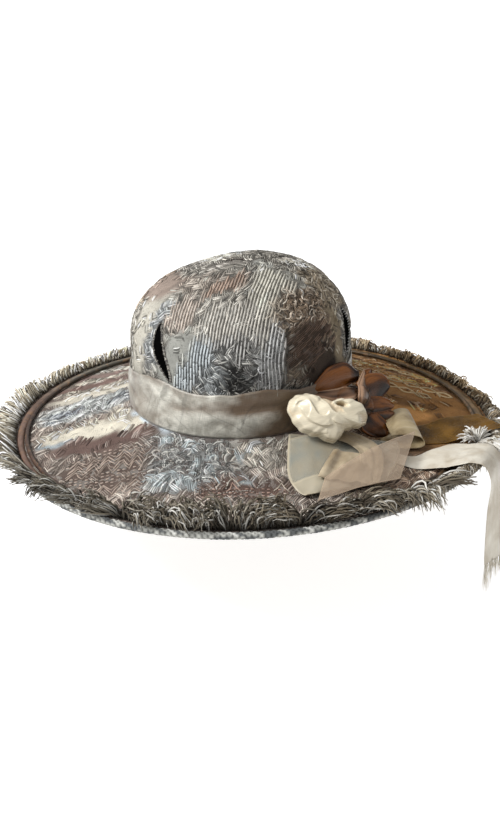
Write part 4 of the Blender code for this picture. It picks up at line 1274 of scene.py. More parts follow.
clothGrid("pipingRoll", *rimTrim["pipingGrid"], placePiping, makeRimSatin("pipingSatin", 0.4),
          "brim_piping", "brown_satin", closed=True)
clothGrid("satinBinding", *rimTrim["bindingGrid"], placeBinding, makeRimSatin("bindingSatin", 1.0),
          "brim_binding", "brown_satin", closed=True)
clothGrid("twistedEdging", *rimTrim["edgingGrid"], placeEdging, yarnStuff, "rim_edging",
          "braided_edging", closed=True)
print("scene: brim made")


# Fringe: locks of combed threads all round with some loose ones, in four pieces

fringeLook = {
    "threads": 4700, "steps": 9, "lockDegrees": 3.6, "seed": 21, "radius": (0.45, 0.95), "loose": 0.22,
    "root": (195.9, 199.9), "rim": 200.4,     # radii
    # the column warmth is partly the yarn's own brown and partly painted warm light on the wearer's left and
    # back
    "rows": [   # angle, upper out and up, lower out and up, lightness, warmth, curl, sweep
        (-168, 14, 5, 22, -6, 1.4, 0.0, 0.25, -14), (-152, 22, 6, 31, -9, 1.28, 0.0, 0.25, -16),
        (-132, 16, 8, 26, -9, 0.76, 0.0, 0.4, -24), (-116, 8, 12, 17, -4, 0.3, 0.1, 0.7, -22),
        (-100, 1, 18, 14, 2, 0.37, 0.1, 1.0, 2), (-85, -8, 19, 12, 5, 0.44, 0.1, 1.2, 12),
        (-65, -13, 20, 6, 8, 0.54, 0.2, 1.2, 8),
        (-48, -6, 17, 9, 6, 0.55, 0.3, 1.2, -6), (-38, 3, 14, 17, 4, 0.75, 0.2, 1.1, -2),
        (-26, 12, 11, 26, 1, 0.72, 0.15, 1.0, 6), (-14, 5, 2.2, 8, -1, 0.85, 0.3, 0.5, 0),
        (22, 6, 2.4, 11, -2, 1.2, 0.4, 0.7, 0), (42, 4, 1.5, 9, -2, 1.25, 0.85, 0.9, 4),
        (70, 2, 2.5, 6, -0.5, 1.4, 0.85, 0.9, 3), (92, 2, 4.5, 7, 0.5, 2.1, 0.3, 0.6, 2),
        (125, 2, 4.5, 7, 1, 2.0, 0.2, 0.5, 0), (160, 3, 3.5, 9, -2, 3.6, 0.1, 0.4, -8),
        (180, 8, 4, 15, -4, 2.1, 0.0, 0.3, -12),
    ],
    "shades": [(0.17, 0.148, 0.11), (0.25, 0.225, 0.175), (0.09, 0.075, 0.056),
               (0.38, 0.355, 0.3), (0.66, 0.65, 0.61)],
    "chances": [0.3, 0.24, 0.16, 0.18, 0.12],
    "warmShades": [(0.14, 0.088, 0.04), (0.21, 0.14, 0.07), (0.07, 0.04, 0.018),
                   (0.3, 0.22, 0.13), (0.42, 0.35, 0.25)],
}


def makeFringe():
    dice = np.random.default_rng(fringeLook["seed"])
    count = fringeLook["threads"]
    degree = np.sort(dice.uniform(-180.0, 180.0, count))
    rows = wrapTable(fringeLook["rows"], degree)
    upperOut, upperUp, lowerOut, lowerUp, light, brownAndWarmLight, curl, sweep = rows
    # each lock has a size, a sweep and a lift of its own, and its tips draw together
    lock = np.floor(degree / fringeLook["lockDegrees"] + 0.5 * dice.uniform(-0.5, 0.5, count))
    own = np.random.default_rng(5).normal(size=(200, 5))[(lock.astype(int) + 100) % 200]
    loose = dice.uniform(size=count) < fringeLook["loose"]
    stray = np.where(loose, 1.0, 0.14 + 0.5 * curl)[:, None] * dice.normal(size=(count, 6))
    tier = np.clip(0.5 + 0.3 * own[:, 0] + 0.27 * dice.normal(size=count), 0.0, 1.0)
    out = lowerOut + (upperOut - lowerOut) * tier
    up = lowerUp + (upperUp - lowerUp) * tier
    length = (1.0 + 0.1 * own[:, 1]) * np.where(loose, dice.uniform(0.4, 1.1, count),
                                               dice.uniform(0.72, 1.08, count))
    centre = (lock + 0.5) * fringeLook["lockDegrees"]
    side = sweep + (3.5 + 9.0 * curl ** 2) * own[:, 2] + 5.0 * stray[:, 0]   # round the rim
    tipDegree = centre + (degree - centre) * np.where(loose, 1.0, 0.5) + side / 3.6
    curlUp = curl * (5.0 + 3.0 * own[:, 3])
    rootRadius = dice.uniform(*fringeLook["root"], count)
    root = brimPlace(rootRadius, np.radians(degree), 0.9 + dice.uniform(0.0, 1.6, count))
    firstRadius = rootRadius + 0.35 * out * length + 2.0 * curl * stray[:, 1]
    firstLift = 2.5 + np.maximum(0.75 * up, 3.0) * length + 0.4 * np.abs(curlUp) + curl * stray[:, 2]
    first = brimPlace(firstRadius, np.radians(degree + 0.1 * (tipDegree - degree)), firstLift)
    secondRadius = fringeLook["rim"] + 0.85 * out * length + 3.0 * curl * stray[:, 3]
    secondLift = np.maximum(3.0 + (0.95 * up + 3.0) * length + 0.6 * curlUp, 1.5)
    second = brimPlace(secondRadius, np.radians(degree + 0.55 * (tipDegree - degree)), secondLift)
    tipRadius = fringeLook["rim"] + out * length + 1.5 * stray[:, 4]
    tipLift = 3.0 + up * length - 0.35 * np.abs(curlUp) + 1.5 * stray[:, 5]
    tipLift = np.maximum(tipLift, np.where(tipRadius < 199.0, 1.2, -6.0))
    end = brimPlace(tipRadius, np.radians(tipDegree + curl * own[:, 4]), tipLift)
    paths = bentPaths(root, first, second, end, fringeLook["steps"])
    # the yarn keeps the kinks of its weave
    share = np.linspace(0.0, 1.0, fringeLook["steps"])
    size = (0.15 + 1.15 * curl) * dice.uniform(0.3, 1.5, count)
    for axis in (np.stack([-np.sin(np.radians(degree)), np.cos(np.radians(degree)), 0.0 * degree], 1),
                 np.stack([0.0 * degree, 0.0 * degree, 0.0 * degree + 1.0], 1)):
        phase, cycles = dice.uniform(0.0, 2.0 * np.pi, count), dice.uniform(0.6, 1.7, count)
        kink = np.sin(2.0 * np.pi * cycles[:, None] * share + phase[:, None]) - np.sin(phase)[:, None]
        paths = paths + (size[:, None] * kink)[:, :, None] * axis[:, None, :]
    pick = dice.choice(5, size=count, p=fringeLook["chances"])
    pick = np.where(loose & (dice.uniform(size=count) < 0.3), 4, pick)
    # yarn turns golden brown where the painted warm light falls
    cool, brown = np.array(fringeLook["shades"])[pick], np.array(fringeLook["warmShades"])[pick]
    tone = cool + (brown - cool) * np.clip(brownAndWarmLight, 0, 1)[:, None]
    tone = tone * (light * dice.uniform(0.8, 1.2, count) * np.exp(0.25 * own[:, 1]))[:, None]
    radii = dice.uniform(*fringeLook["radius"], count)
    radii = radii * (1.0 + 0.4 * np.exp(-((degree + 26.0) / 16.0) ** 2) + 0.3 * ramp(-110.0, -140.0, degree))
    # each thread runs from painted shade at its root, 0.3 of its tone, to a lighter tip
    for number in range(4):
        some = slice(number * count // 4, (number + 1) * count // 4)
        yarnMesh("fringeYarn%d" % (number + 1), paths[some], radii[some],
                 (tone[some] * 0.3, np.clip(tone[some] * 1.2, 0, 0.75)), yarnStuff, "fringe", "fringe_yarn")


makeFringe()
print("scene: fringe made")


# Hat band

bandLook = {
    "columns": 360, "rows": 18, "foot": -0.2, "thickness": 0.6,
    "top": [(-180, 32), (-148, 30), (-108, 40), (-84, 35), (-68, 36), (-52, 39), (-28, 34),
            (10, 34), (60, 37), (120, 35)],
    "standOff": [(0.0, 1.9), (0.24, 3.0), (0.5, 2.6), (0.78, 1.9), (1.0, 0.8)],
}


def placeBand(across, along):
    angle = across * 2.0 * np.pi
    degree = degreeOf(angle)
    top = wrapTable(bandLook["top"], degree)[0]
    height = bandLook["foot"] + along * (top - bandLook["foot"])
    shares, offs = zip(*bandLook["standOff"])
    standOff = np.interp(along, shares, offs)
    standOff = standOff + 0.5 * np.sin(np.pi * along) * np.sin(5.0 * angle + 4.0 * along)
    u = degree * flatPerDegree
    body = np.sin(np.pi * along) ** 0.6
    # creases that climb on the wearer's right, one long crease in front, gathers by the rosettes
    slanted = grain2(u / 16.0 + height / 26.0, height / 9.0 - u / 60.0, 1.0, 4.0)
    slanted = slanted - 0.6 * np.abs(grain2(u / 26.0 - height / 14.0, height / 30.0, 1.0, 9.0))
    front = ramp(-75.0, -55.0, degree) * ramp(0.0, -20.0, degree)
    crease = np.exp(-((along - 0.56 - 0.05 * np.sin(u / 17.0)) / 0.07) ** 2) * front
    sharp = grain2(u / 34.0 + height / 30.0, height / 24.0 - u / 60.0, 1.0, 11.0)
    sharp = np.maximum(0.0, 1.0 - 7.0 * np.abs(sharp))
    hollow = grain2(u / 30.0 - height / 40.0, height / 9.0 + u / 70.0, 1.0, 15.0)
    gathers = grain2(u / 40.0, height / 3.6, 1.0, 2.0)
    gathers = gathers * ramp(-60.0, -38.0, degree) * ramp(20.0, -10.0, degree)
    ripple = (0.85 * slanted - 0.5 * sharp + 0.9 * hollow + 0.55 * gathers) * body - 1.2 * crease
    rolled = 0.5 * np.exp(-((along - 0.97) / 0.03) ** 2)
    edge = 0.5 * grain2(u / 9.0, along * 0.0, 1.0, 7.0)
    standOff = np.maximum(standOff + ripple + rolled, 0.7)
    points = np.stack([(hat["halfWidth"] + standOff) * np.cos(angle),
                       (hat["halfLength"] + standOff) * np.sin(angle),
                       height + edge * along], 1)
    # painted shade, held in dye and passed on as the layer shadow: along the upper half in front, more
    # towards the rosettes and on the wearer's right, in creases and hollows; less on the lower front and on
    # swells
    strip = np.exp(-((along - 0.72 - 0.04 * np.sin(u / 13.0)) / 0.17) ** 2) * ramp(-94.0, -72.0, degree)
    dye = (0.55 * strip + 0.8 * ramp(-64.0, -42.0, degree)) * ramp(30.0, -5.0, degree) + 0.3 * sharp
    low = ramp(0.52, 0.26, along) * ramp(-112.0, -96.0, degree) * ramp(-50.0, -66.0, degree)
    dye = dye + 0.22 * ramp(-100.0, -125.0, degree) + 0.1 - 0.5 * low
    dye = dye + 0.3 * ramp(0.1, -0.5, hollow) + 0.6 * crease + 0.2 * ramp(0.2, -0.5, slanted)
    dye = np.clip(dye - 0.25 * ramp(0.1, 0.5, hollow), 0.0, 1.0)
    return {"points": points, "weave": np.stack([u, height], 1), "shadow": dye}


def makeBandSilk():
    cloth = Cloth("champagneSilk", (0.4, 0.38, 0.32), 0.42)
    where = cloth.weaveMap()
    threads = cloth.speckle(cloth.stretched(where, 0.06, 0.9), 3.0, 4.0)
    slubs = cloth.speckle(cloth.stretched(where, 0.9, 0.08), 2.4, 3.0)
    blotch = cloth.speckle(where, 0.055, 3.0, 1.4)
    # thin creases that lean both ways and break off, painted as dark lines
    lines = 1.0
    for lean, across, along in ((-0.75, 0.012, 0.075), (0.55, 0.01, 0.06), (-1.25, 0.014, 0.05)):
        bent = cloth.node("Mapping", {"Vector": cloth.turned(where, lean), "Scale": (across, along, 1.0),
                                      "Location": (lean * 7.0, 0.0, 0.0)}).outputs[0]
        off = cloth.maths("ABSOLUTE", cloth.maths("SUBTRACT", cloth.speckle(bent, 1.0, 1.0), 0.5))
        thin = cloth.maths("SUBTRACT", 1.0, cloth.fit(off, 0.0, 0.02))
        some = cloth.fit(cloth.speckle(bent, 2.3, 0.0), 0.45, 0.6, 0.0, 0.24)
        lines = cloth.maths("SUBTRACT", lines, cloth.product(thin, some))
    # painted sheen and shade: the silk lighter and darker in soft blotches
    light = cloth.between(cloth.fit(blotch, 0.3, 0.68), (0.25, 0.238, 0.2), (0.5, 0.485, 0.425))
    tone = cloth.between(cloth.layer("shadow"), light, (0.1, 0.063, 0.034))
    share = cloth.fit(cloth.plus(threads, cloth.product(slubs, 0.6)), 0.5, 1.1, 0.72, 1.28)
    cloth.set("Sheen Weight", 0.2)
    return cloth.finish(cloth.times(tone, cloth.product(share, lines)), cloth.scaled(threads, 0.25, 0.24),
                        0.6, cloth.plus(cloth.plus(threads, slubs), lines), 0.4, 0.4)


band = clothGrid("silkBand", bandLook["columns"], bandLook["rows"], placeBand, makeBandSilk(),
                 "hat_band", "champagne_silk", closed=True, thickness=bandLook["thickness"])


# Ribbons, through stations of x, y, lift over the brim, half width, heading of the width, tilt

ribbonLook = {
    "organzaLoop": {
        "node": "organza_loop", "slot": "organza", "cells": 44, "steps": 90, "thickness": 0.35,
        "flat": (0.086, 0.13), "held": "folded", "rests": ["brim"], "ripple": (0.5, 14.0, 9.0), "droop": 4.0,
        "turned": -90.0,      # y of the line past which the cloth lies double
        "stations": [(109, -40, 1.0, 45, 35, 0), (116, -57, 1.0, 46, 37, 0), (123, -76, 1.0, 45, 40, 0),
                     (129, -91, 1.2, 39, 42, 0), (135, -101, 2.6, 33.5, 45, 0), (136, -102, 6.2, 33.5, 45, 0),
                     (131, -95, 8.4, 40, 45, 0), (125, -81, 9.0, 45.5, 43, 0), (119, -64, 9.2, 46.5, 41, 0),
                     (112, -49, 9.0, 44.5, 35, 0)]},
    "silkSwath": {
        "node": "silk_swath", "slot": "champagne_silk", "cells": 26, "steps": 90, "thickness": 0.5,
        "flat": (0.017, 0.077), "held": "gathered", "rests": ["organza_loop"], "ripple": (0.9, 34.0, 4.0),
        "stations": [(102, -54, 11.0, 6, 100, 0), (121, -51, 12.2, 8, 88, 4), (137, -57, 12.6, 9.5, 52, 4),
                     (146, -75, 11.0, 9, 25, 0), (150, -93, 9.6, 8, 12, 0)]},
    "bowLoop": {
        "node": "bow_loop", "slot": "champagne_silk", "cells": 36, "steps": 120, "thickness": 0.5,
        "flat": (0.027, 0.077), "held": "folded", "rests": ["ribbon_knot"], "ripple": (0.5, 40.0, 5.0),
        "stations": [(136, -26, 2.6, 7, 122, 0), (144, -11, 2.8, 12, 126, 0), (151, 2, 4.4, 16, 128, 6),
                     (154, 9, 8.0, 17, 130, 12), (150, 9, 13.0, 17, 132, 12), (142, -1, 14.5, 15, 130, 8),
                     (136, -13, 11.0, 10, 126, 4)]},
    "silkTail": {
        "node": "silk_tail", "slot": "cream_silk", "cells": 32, "steps": 180, "thickness": 0.4,
        "flat": (0.036, 0.208), "held": "hung", "rests": ["ribbon_knot"], "ripple": (0.7, 50.0, 7.0),
        "stations": [(125, -49, 2.4, 4, 100, 0), (137, -42, 2.4, 5, 102, 0), (152, -37, 2.4, 7, 106, 0),
                     (167, -31, 1.6, 10, 112, 0), (182, -21, 6.0, 17, 114, 0), (196, -15, 9.0, 23, 110, 0),
                     (209, -12, 9.8, 23, 104, 0), (220, -10, 7.0, 22, 98, 0), (228, -9, -6.0, 21, 90, 0),
                     (230, -8, -30, 21, 81, 0), (231, -8, -56, 21, 76, 0), (231, -8, -80, 20, 76, 0)]},
    "sheerTail": {
        "node": "sheer_tail", "slot": "tan_organza", "cells": 30, "steps": 80, "thickness": 0.3,
        "flat": (0.034, 0.069), "held": "laid", "rests": ["bow_loop"], "ripple": (0.5, 30.0, 8.0),
        "stations": [(152, 14, 0.8, 14, 141, 0), (162, 28, 0.8, 16, 141, 0), (174, 43, 5.2, 18, 142, 0),
                     (186, 59, 6.4, 19, 143, 0), (197, 71, 8.2, 19, 143, 0)]},
}
ribbonStuff = {
    "organzaLoop": makeSatin("organzaTaupe", (0.31, 0.33, 0.3), (0.46, 0.4, 0.29), 0.4, (0.3, 0.3),
                             0.44, 0.12),
    "silkSwath": makeSatin("champagneSatin", (0.2, 0.145, 0.085), (0.48, 0.4, 0.28), 0.35, (0.06, 0.9)),
    "silkTail": makeSatin("creamSilk", (0.42, 0.36, 0.27), (0.68, 0.64, 0.55), 0.38, (0.05, 1.2), 0.97),
    "sheerTail": makeSatin("tanOrganza", (0.05, 0.026, 0.006), (0.19, 0.096, 0.018), 0.5, (0.2, 0.6),
                           0.76, 0.25, 0.12),
    "bowLoop": makeSatin("oliveSatin", (0.14, 0.09, 0.036), (0.46, 0.37, 0.22), 0.36, (0.06, 0.9)),
}


def makeRibbon(name, look):
    amount, alongSize, acrossSize = look["ripple"]
    whole = look["flat"][1] * 1000.0

    def place(across, along):
        x, y, lift, half, side, tilt = throughStations(look["stations"], across).T
        beyond = look.get("turned", -200.0) - y
        offset = (2.0 * along - 1.0) * half
        length = across * whole
        side, tilt = np.radians(side), np.radians(tilt)
        x = x + offset * np.cos(side) * np.cos(tilt)
        y = y + offset * np.sin(side) * np.cos(tilt)
        ripple = amount * grain2(length / alongSize, offset / acrossSize, 1.0, len(name) * 1.7)
        finer = grain2(length / alongSize * 2.0, offset / acrossSize * 2.2, 1.0, 3.3)
        ripple = ripple + 0.35 * amount * finer
        z = brimTop(x, y) + np.maximum(lift + offset * np.sin(tilt) + ripple * 1.4, 0.6)
        z = np.where(lift < 0.3, brimTop(x, y) + lift + ripple, z)
        z = z - look.get("droop", 0.0) * ramp(0.55, 1.0, -offset / half) * ramp(4.0, 8.0, lift)
        points = np.stack([x, y, z], 1)
        hangs = ramp(0.0, -10.0, lift)
        points[:, 0] += hangs * ripple * 2.2
        fromEdge = np.minimum(half - np.abs(offset), np.minimum(across, 1.0 - across) * whole)
        hem = np.maximum(ramp(1.1, 0.5, fromEdge), 0.9 * np.exp(-(beyond / 0.8) ** 2))
        return {"points": points, "weave": np.stack([length, offset], 1),
                "hem": np.maximum(hem, 0.6 * ramp(0.0, 1.5, beyond))}

    piece = clothGrid(name, look["steps"], look["cells"], place, ribbonStuff[name], look["node"],
                      look["slot"], thickness=look["thickness"])
    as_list(look["rests"])


for ribbonName, look in ribbonLook.items():
    makeRibbon(ribbonName, look)


# Loose panes: the pointed one of organza, and the swath's fan below the rosette

paneLook = {
    "organzaPoint": {   # corners right, back and lift: near high and low, far high and low
        "node": "organza_point", "slot": "organza", "grid": (90, 36), "thickness": 0.3,
        "corners": [(120.8, -108.7, 11.5), (127.0, -137.0, 10.5), (157.0, -6.5, 14.5), (169.5, -75.0, 9.5)],
        "crest": 2.5, "pleats": 0.0, "size": (127.0, 70.0), "flat": (0.036, 0.13), "area": 0.0028,
        "held": "folded", "rests": ["silk_swath"]},
    "swathFan": {
        "node": "silk_swath", "slot": "champagne_silk", "grid": (40, 60), "thickness": 0.4,
        "corners": [(113.5, -73.5, 11.2), (139.0, -60.0, 11.2), (115.5, -110.5, 9.9), (154.0, -95.0, 9.9)],
        "crest": 0.6, "pleats": 1.1, "size": (36.0, 36.0), "flat": (0.036, 0.036), "area": 0.0012,
        "held": "gathered", "rests": ["organza_loop"]},
}


def makePane(name, look, material):
    nearHigh, nearLow, farHigh, farLow = (np.array(corner) for corner in look["corners"])
    long, wide = look["size"]

    def place(across, along):
        a, b = across[:, None], along[:, None]
        flat = (nearHigh + b * (nearLow - nearHigh)) * (1.0 - a) + (farHigh + b * (farLow - farHigh)) * a
        crest = look["crest"] * np.sin(np.pi * across) * (1.0 - 0.6 * along)
        pucker = 0.45 * grain2(across * 6.0, along * 3.0, 1.0, 4.0)
        # pleats that open from the near edge, the first one a fold laid back
        laid = 1.6 * np.exp(-((along - 0.1) / 0.09) ** 2)
        pleat = look["pleats"] * (np.sin(along * 17.0 + across * 2.0) * across + laid)
        z = brimTop(flat[:, 0], flat[:, 1]) + flat[:, 2] + crest + pucker + np.maximum(pleat, -0.3)
        edge = np.minimum(np.minimum(along, 1.0 - along) * wide, np.minimum(across, 1.0 - across) * long)
        return {"points": np.concatenate([flat[:, :2], z[:, None]], 1),
                "weave": np.stack([across * long, along * wide], 1), "hem": ramp(1.2, 0.6, edge)}

    pane = clothGrid(name, *look["grid"], place, material, look["node"], look["slot"],
                     thickness=look["thickness"])
    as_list(look["rests"])


roseOrganza = makeSatin("organzaRose", (0.42, 0.32, 0.23), (0.52, 0.4, 0.29), 0.35, (0.3, 0.3), 0.34, 0.1)
makePane("organzaPoint", paneLook["organzaPoint"], roseOrganza)
makePane("swathFan", paneLook["swathFan"], ribbonStuff["silkSwath"])
print("scene: ribbons made")


# Frayed end of the long ribbon, and the white burst of yarn where it crosses the rim

frayLook = {
    "seed": 31, "threads": 120, "steps": 7, "at": (231.0, -8.0), "half": 19.5, "heading": 76.0,
    "below": 78.5, "length": (5.0, 24.0), "lowest": 26.0, "radius": (0.13, 0.3), "tone": (0.62, 0.57, 0.47),
}
tuftLook = {
    "seed": 12, "threads": 210, "steps": 8, "at": (199.0, 26.0), "lift": 5.0, "longShare": 0.55,
    "long": {"length": (20.0, 38.0), "rise": (-0.15, 0.3), "droop": -9.0},
    "short": {"length": (9.0, 16.0), "rise": (0.15, 1.1), "droop": -1.0},
    "shades": [(0.7, 0.68, 0.63), (0.56, 0.53, 0.47), (0.26, 0.22, 0.17), (0.78, 0.77, 0.75)],
    "chances": (0.38, 0.24, 0.1, 0.28), "radius": (0.6, 0.95),
}


def makeFray():
    look = frayLook
    dice = np.random.default_rng(look["seed"])
    count, heading = look["threads"], radians(look["heading"])
    offset = dice.uniform(-look["half"], look["half"], count)
    x, y = look["at"][0] + offset * cos(heading), look["at"][1] + offset * sin(heading)
    z = brimTop(x, y) - look["below"]
    root = np.stack([x, y, z], 1)
    length = dice.uniform(*look["length"], count) * np.where(np.abs(offset) > 10.0, 1.25, 0.8)
    drift = dice.normal(size=(count, 3)) * (1.0, 1.4, 0.0)
    fall = length[:, None] * (0.0, 0.0, -1.0)
    end = root + fall + drift
    end[:, 2] = np.maximum(end[:, 2], z.min() - look["lowest"])
    first, second = root + 0.4 * fall + 0.2 * drift, root + 0.75 * fall + 1.2 * drift
    tone = np.array(look["tone"]) * dice.uniform(0.85, 1.25, (count, 1))
    yarnMesh("tailFray", bentPaths(root, first, second, end, look["steps"]),
             dice.uniform(*look["radius"], count), (tone * 0.9, tone), yarnStuff, None, "cream_silk")


def makeTuft():
    look = tuftLook
    dice = np.random.default_rng(look["seed"])
    count = look["threads"]
    centre = np.array(look["at"])
    lift = brimTop(centre[:1], centre[1:])[0] + look["lift"]
    isLong = dice.uniform(0.0, 1.0, count) < look["longShare"]
    heading = np.radians(np.where(isLong, dice.normal(-12.0, 20.0, count), dice.uniform(50.0, 250.0, count)))
    length, rise = (np.where(isLong, dice.uniform(*look["long"][key], count),
                             dice.uniform(*look["short"][key], count)) for key in ("length", "rise"))
    away = np.stack([np.cos(heading), np.sin(heading)], 1)
    root = np.concatenate([centre + away * dice.uniform(0.0, 3.0, (count, 1)),
                           np.full((count, 1), lift)], 1)
    reach = np.concatenate([away * (length * np.cos(rise))[:, None],
                            (length * np.sin(rise))[:, None]], 1)
    droop = np.where(isLong, look["long"]["droop"], look["short"]["droop"])[:, None] * (0.0, 0.0, 1.0)
    end = root + reach + droop + dice.normal(size=(count, 3)) * 0.8
    first = root + 0.3 * reach + (0.0, 0.0, 3.5)
    second = root + 0.75 * reach + (0.0, 0.0, 2.5) + droop * 0.3 + dice.normal(size=(count, 3)) * 1.2
    tone = np.array(look["shades"])[dice.choice(4, size=count, p=look["chances"])]
    yarnMesh("yarnBurst", bentPaths(root, first, second, end, look["steps"]),
             dice.uniform(*look["radius"], count), (tone * 0.7, tone), yarnStuff, "yarn_tuft",
             "white_yarn", 4)


makeFray()
makeTuft()


# Rosettes, in planes that face the wearer's left front: places are millimetres right and up
# from their middles

def facingFrame(heading, rise):
    heading, rise = radians(heading), radians(rise)
    outward = np.array((cos(heading) * cos(rise), sin(heading) * cos(rise), sin(rise)))
    right = np.array((-sin(heading), cos(heading), 0.0))
    return right, np.cross(outward, right), outward


def onPlane(look, a, b, out):
    right, up, outward = facingFrame(look["facing"], look["rise"])
    return np.array(look["centre"]) + a[:, None] * right + b[:, None] * up + out[:, None] * outward


def cushionHeight(look, a, b):
    halfRight, halfUp, tall = look["cushion"]
    tilt = radians(look["tilt"])
    across = (a * cos(tilt) + b * sin(tilt)) / halfRight
    along = (b * cos(tilt) - a * sin(tilt)) / halfUp
    return tall * np.sqrt(np.maximum(0.0, 1.0 - across ** 2 - along ** 2))


def makeFolds(name, look, materials, node, slot):
    # each fold is a soft roll along a curve, steeper on one side, over the cushion
    def placeCushion(across, along):
        turn, rise = across * 2.0 * np.pi, (along - 0.5) * np.pi
        halfRight, halfUp, tall = look["cushion"]
        tilt = radians(look["tilt"])
        a, b = halfRight * np.cos(rise) * np.cos(turn), halfUp * np.cos(rise) * np.sin(turn)
        a, b = a * cos(tilt) - b * sin(tilt), a * sin(tilt) + b * cos(tilt)
        lump = 0.6 * grain2(a / 8.0, b / 8.0, 1.0, 4.0)
        points = onPlane(look, a, b, (tall + lump) * np.sin(rise))
        points[:, 2] = np.maximum(points[:, 2], brimTop(points[:, 0], points[:, 1]) + 0.6)
        # the heart lies all in painted shade
        return {"points": points, "weave": np.stack([a, b], 1), "deep": np.ones(len(a))}

    clothGrid(name + "Heart", *look["heartGrid"], placeCushion, materials[0], node, slot, closed=True)
    for number, (tone, left, right, dome, lift, bent, spine) in enumerate(look["folds"]):
        def place(across, along):
            t = 2.0 * along - 1.0
            line = throughStations(spine, across)
            step = (throughStations(spine, np.clip(across + 0.01, 0.0, 1.0))
                    - throughStations(spine, np.clip(across - 0.01, 0.0, 1.0)))
            step /= np.maximum(np.hypot(*step.T), 1e-6)[:, None]
            body = (0.4 + 0.6 * smooth(across / 0.35)) * (1.0 - 0.98 * across ** 3.4) ** 0.75
            uneven = 1.0 + 0.16 * grain2(across * 3.0 + number * 5.0, np.sign(t), 1.0, 2.0)
            half = np.where(t > 0.0, left, right) * body * uneven
            a = line[:, 0] - step[:, 1] * t * half
            b = line[:, 1] + step[:, 0] * t * half
            ridge = 1.0 - (np.abs(t - bent) / (1.0 + np.abs(bent))) ** look["ridge"]
            arch = ridge * dome * (0.35 + 0.65 * body) + 1.1 * np.exp(-((np.abs(t) - 0.93) / 0.06) ** 2)
            crease = 0.5 * grain2(across * 2.2 + number * 3.1, t * 1.7, 1.0, 5.0) * (1.0 - t * t)
            out = cushionHeight(look, a, b) * 0.97 + lift * body + arch + crease - 1.2
            points = onPlane(look, a, b, out)
            points[:, 2] = np.maximum(points[:, 2], brimTop(points[:, 0], points[:, 1]) + 0.6)
            # painted shade by the root and on the side that the ridge turns from the light
            deep = 0.75 * ramp(0.15, -0.5, t - bent) + 0.8 * ramp(0.35, 0.0, across)
            deep = deep + 0.35 * ramp(0.4, 1.0, t)
            # a painted highlight along the rolled edges
            deep = deep - 0.6 * np.exp(-((np.abs(t) - 0.93) / 0.06) ** 2)
            deep = np.clip(deep + 0.5 * grain2(across * 3.0 + number, t * 2.0, 1.0, 8.0), 0.0, 1.0)
            return {"points": points, "weave": np.stack([across * 40.0 + number * 50.0, t * 12.0], 1),
                    "deep": deep}

        clothGrid("%sFold%d" % (name, number + 1), *look["grid"], place, materials[tone], node, slot,
                  thickness=look["thickness"])


def makePetalSatin(name, darkestShade, shadow, light, roughness, gloss=0.5):
    # satin with painted shade where a fold turns under, after the layer that holds that shade
    cloth = Cloth(name, light, roughness)
    where = cloth.weaveMap()
    threads = cloth.speckle(cloth.stretched(where, 0.05, 0.5), 3.0, 3.0)
    blotch = cloth.speckle(where, 0.09, 2.0, 0.5)
    deep = cloth.layer("deep")
    turned = cloth.plus(cloth.fit(deep, 0.05, 0.5), cloth.fit(blotch, 0.3, 0.75, -0.3, 0.3))
    tone = cloth.between(cloth.fit(turned, 0.0, 1.0), light, shadow)
    tone = cloth.between(cloth.fit(deep, 0.3, 1.0), tone, darkestShade)
    return cloth.finish(cloth.times(tone, cloth.scaled(threads, 0.16, 0.92)),
                        cloth.scaled(threads, 0.14, roughness - 0.07), gloss, threads, 0.15, 0.3)


creamLook = {
    "centre": (103.0, -58.0, 16.0), "facing": -50.0, "rise": 33.0, "columns": 250, "front": 92, "rear": 8,
    "dome": 11.5, "rearDome": 12.0, "drop": 1.1, "tall": 0.6, "spread": 3.2,
    "outline": [(-32.9, 10.5), (-30.6, 16.1), (-25.6, 19.9), (-17.5, 21.1), (-10, 18.8), (-4.4, 15.6),
                (3.7, 13), (12.5, 13.8), (21.2, 12), (28.7, 6), (31.2, -1.4), (29, -7.6), (23.7, -10.6),
                (16.2, -10.4), (9.5, -12), (5.5, -17), (0, -20.4), (-5.4, -18.6), (-11, -14.4),
                (-18.7, -12), (-26.2, -6.8), (-30.6, 1.1)],
    "folds": [   # height, reach, side that the body lies on, curve of the edge
        (7.0, 3.2, -1, [(-32, 4), (-30.5, 14), (-23, 19), (-12, 18.7), (-4, 15)]),
        (7.5, 2.6, 1, [(-29, 9), (-25, 13.5), (-19, 12), (-19.5, 4), (-24, -3)]),
        (9.5, 3.4, -1, [(-18, 19.5), (-15.5, 9), (-12, 1.8), (-6.5, 0.8), (-3.5, 6)]),
        (10.5, 4.6, -1, [(-5, 17), (-1.5, 5.5), (6, -1), (14, -5), (23, -7.4), (29, -6)]),
        (8.0, 4.6, -1, [(0, 9), (4, 12.2), (13, 13.4), (22.5, 11.2), (29, 4.5), (30.6, -3)]),
        (6.5, 4.0, 1, [(-31.5, 6), (-28.5, -3.5), (-20, -10.8), (-10, -13.4), (-4, -14)]),
        (9.0, 4.0, 1, [(-28, 13), (-24, 3), (-17.5, -4.5), (-9, -8.4), (2, -8)]),
        (7.0, 4.0, 1, [(-13, -9), (-9.5, -15.4), (-1, -19.4), (4.6, -16.4), (8, -9)]),
        (8.5, 3.0, 1, [(-5, -1), (1, -7.6), (12, -9.6), (26, -9)]),
    ],
    "hole": (8.5, 8.2, 4.2, 1.9, 9.0, -18.0),
}


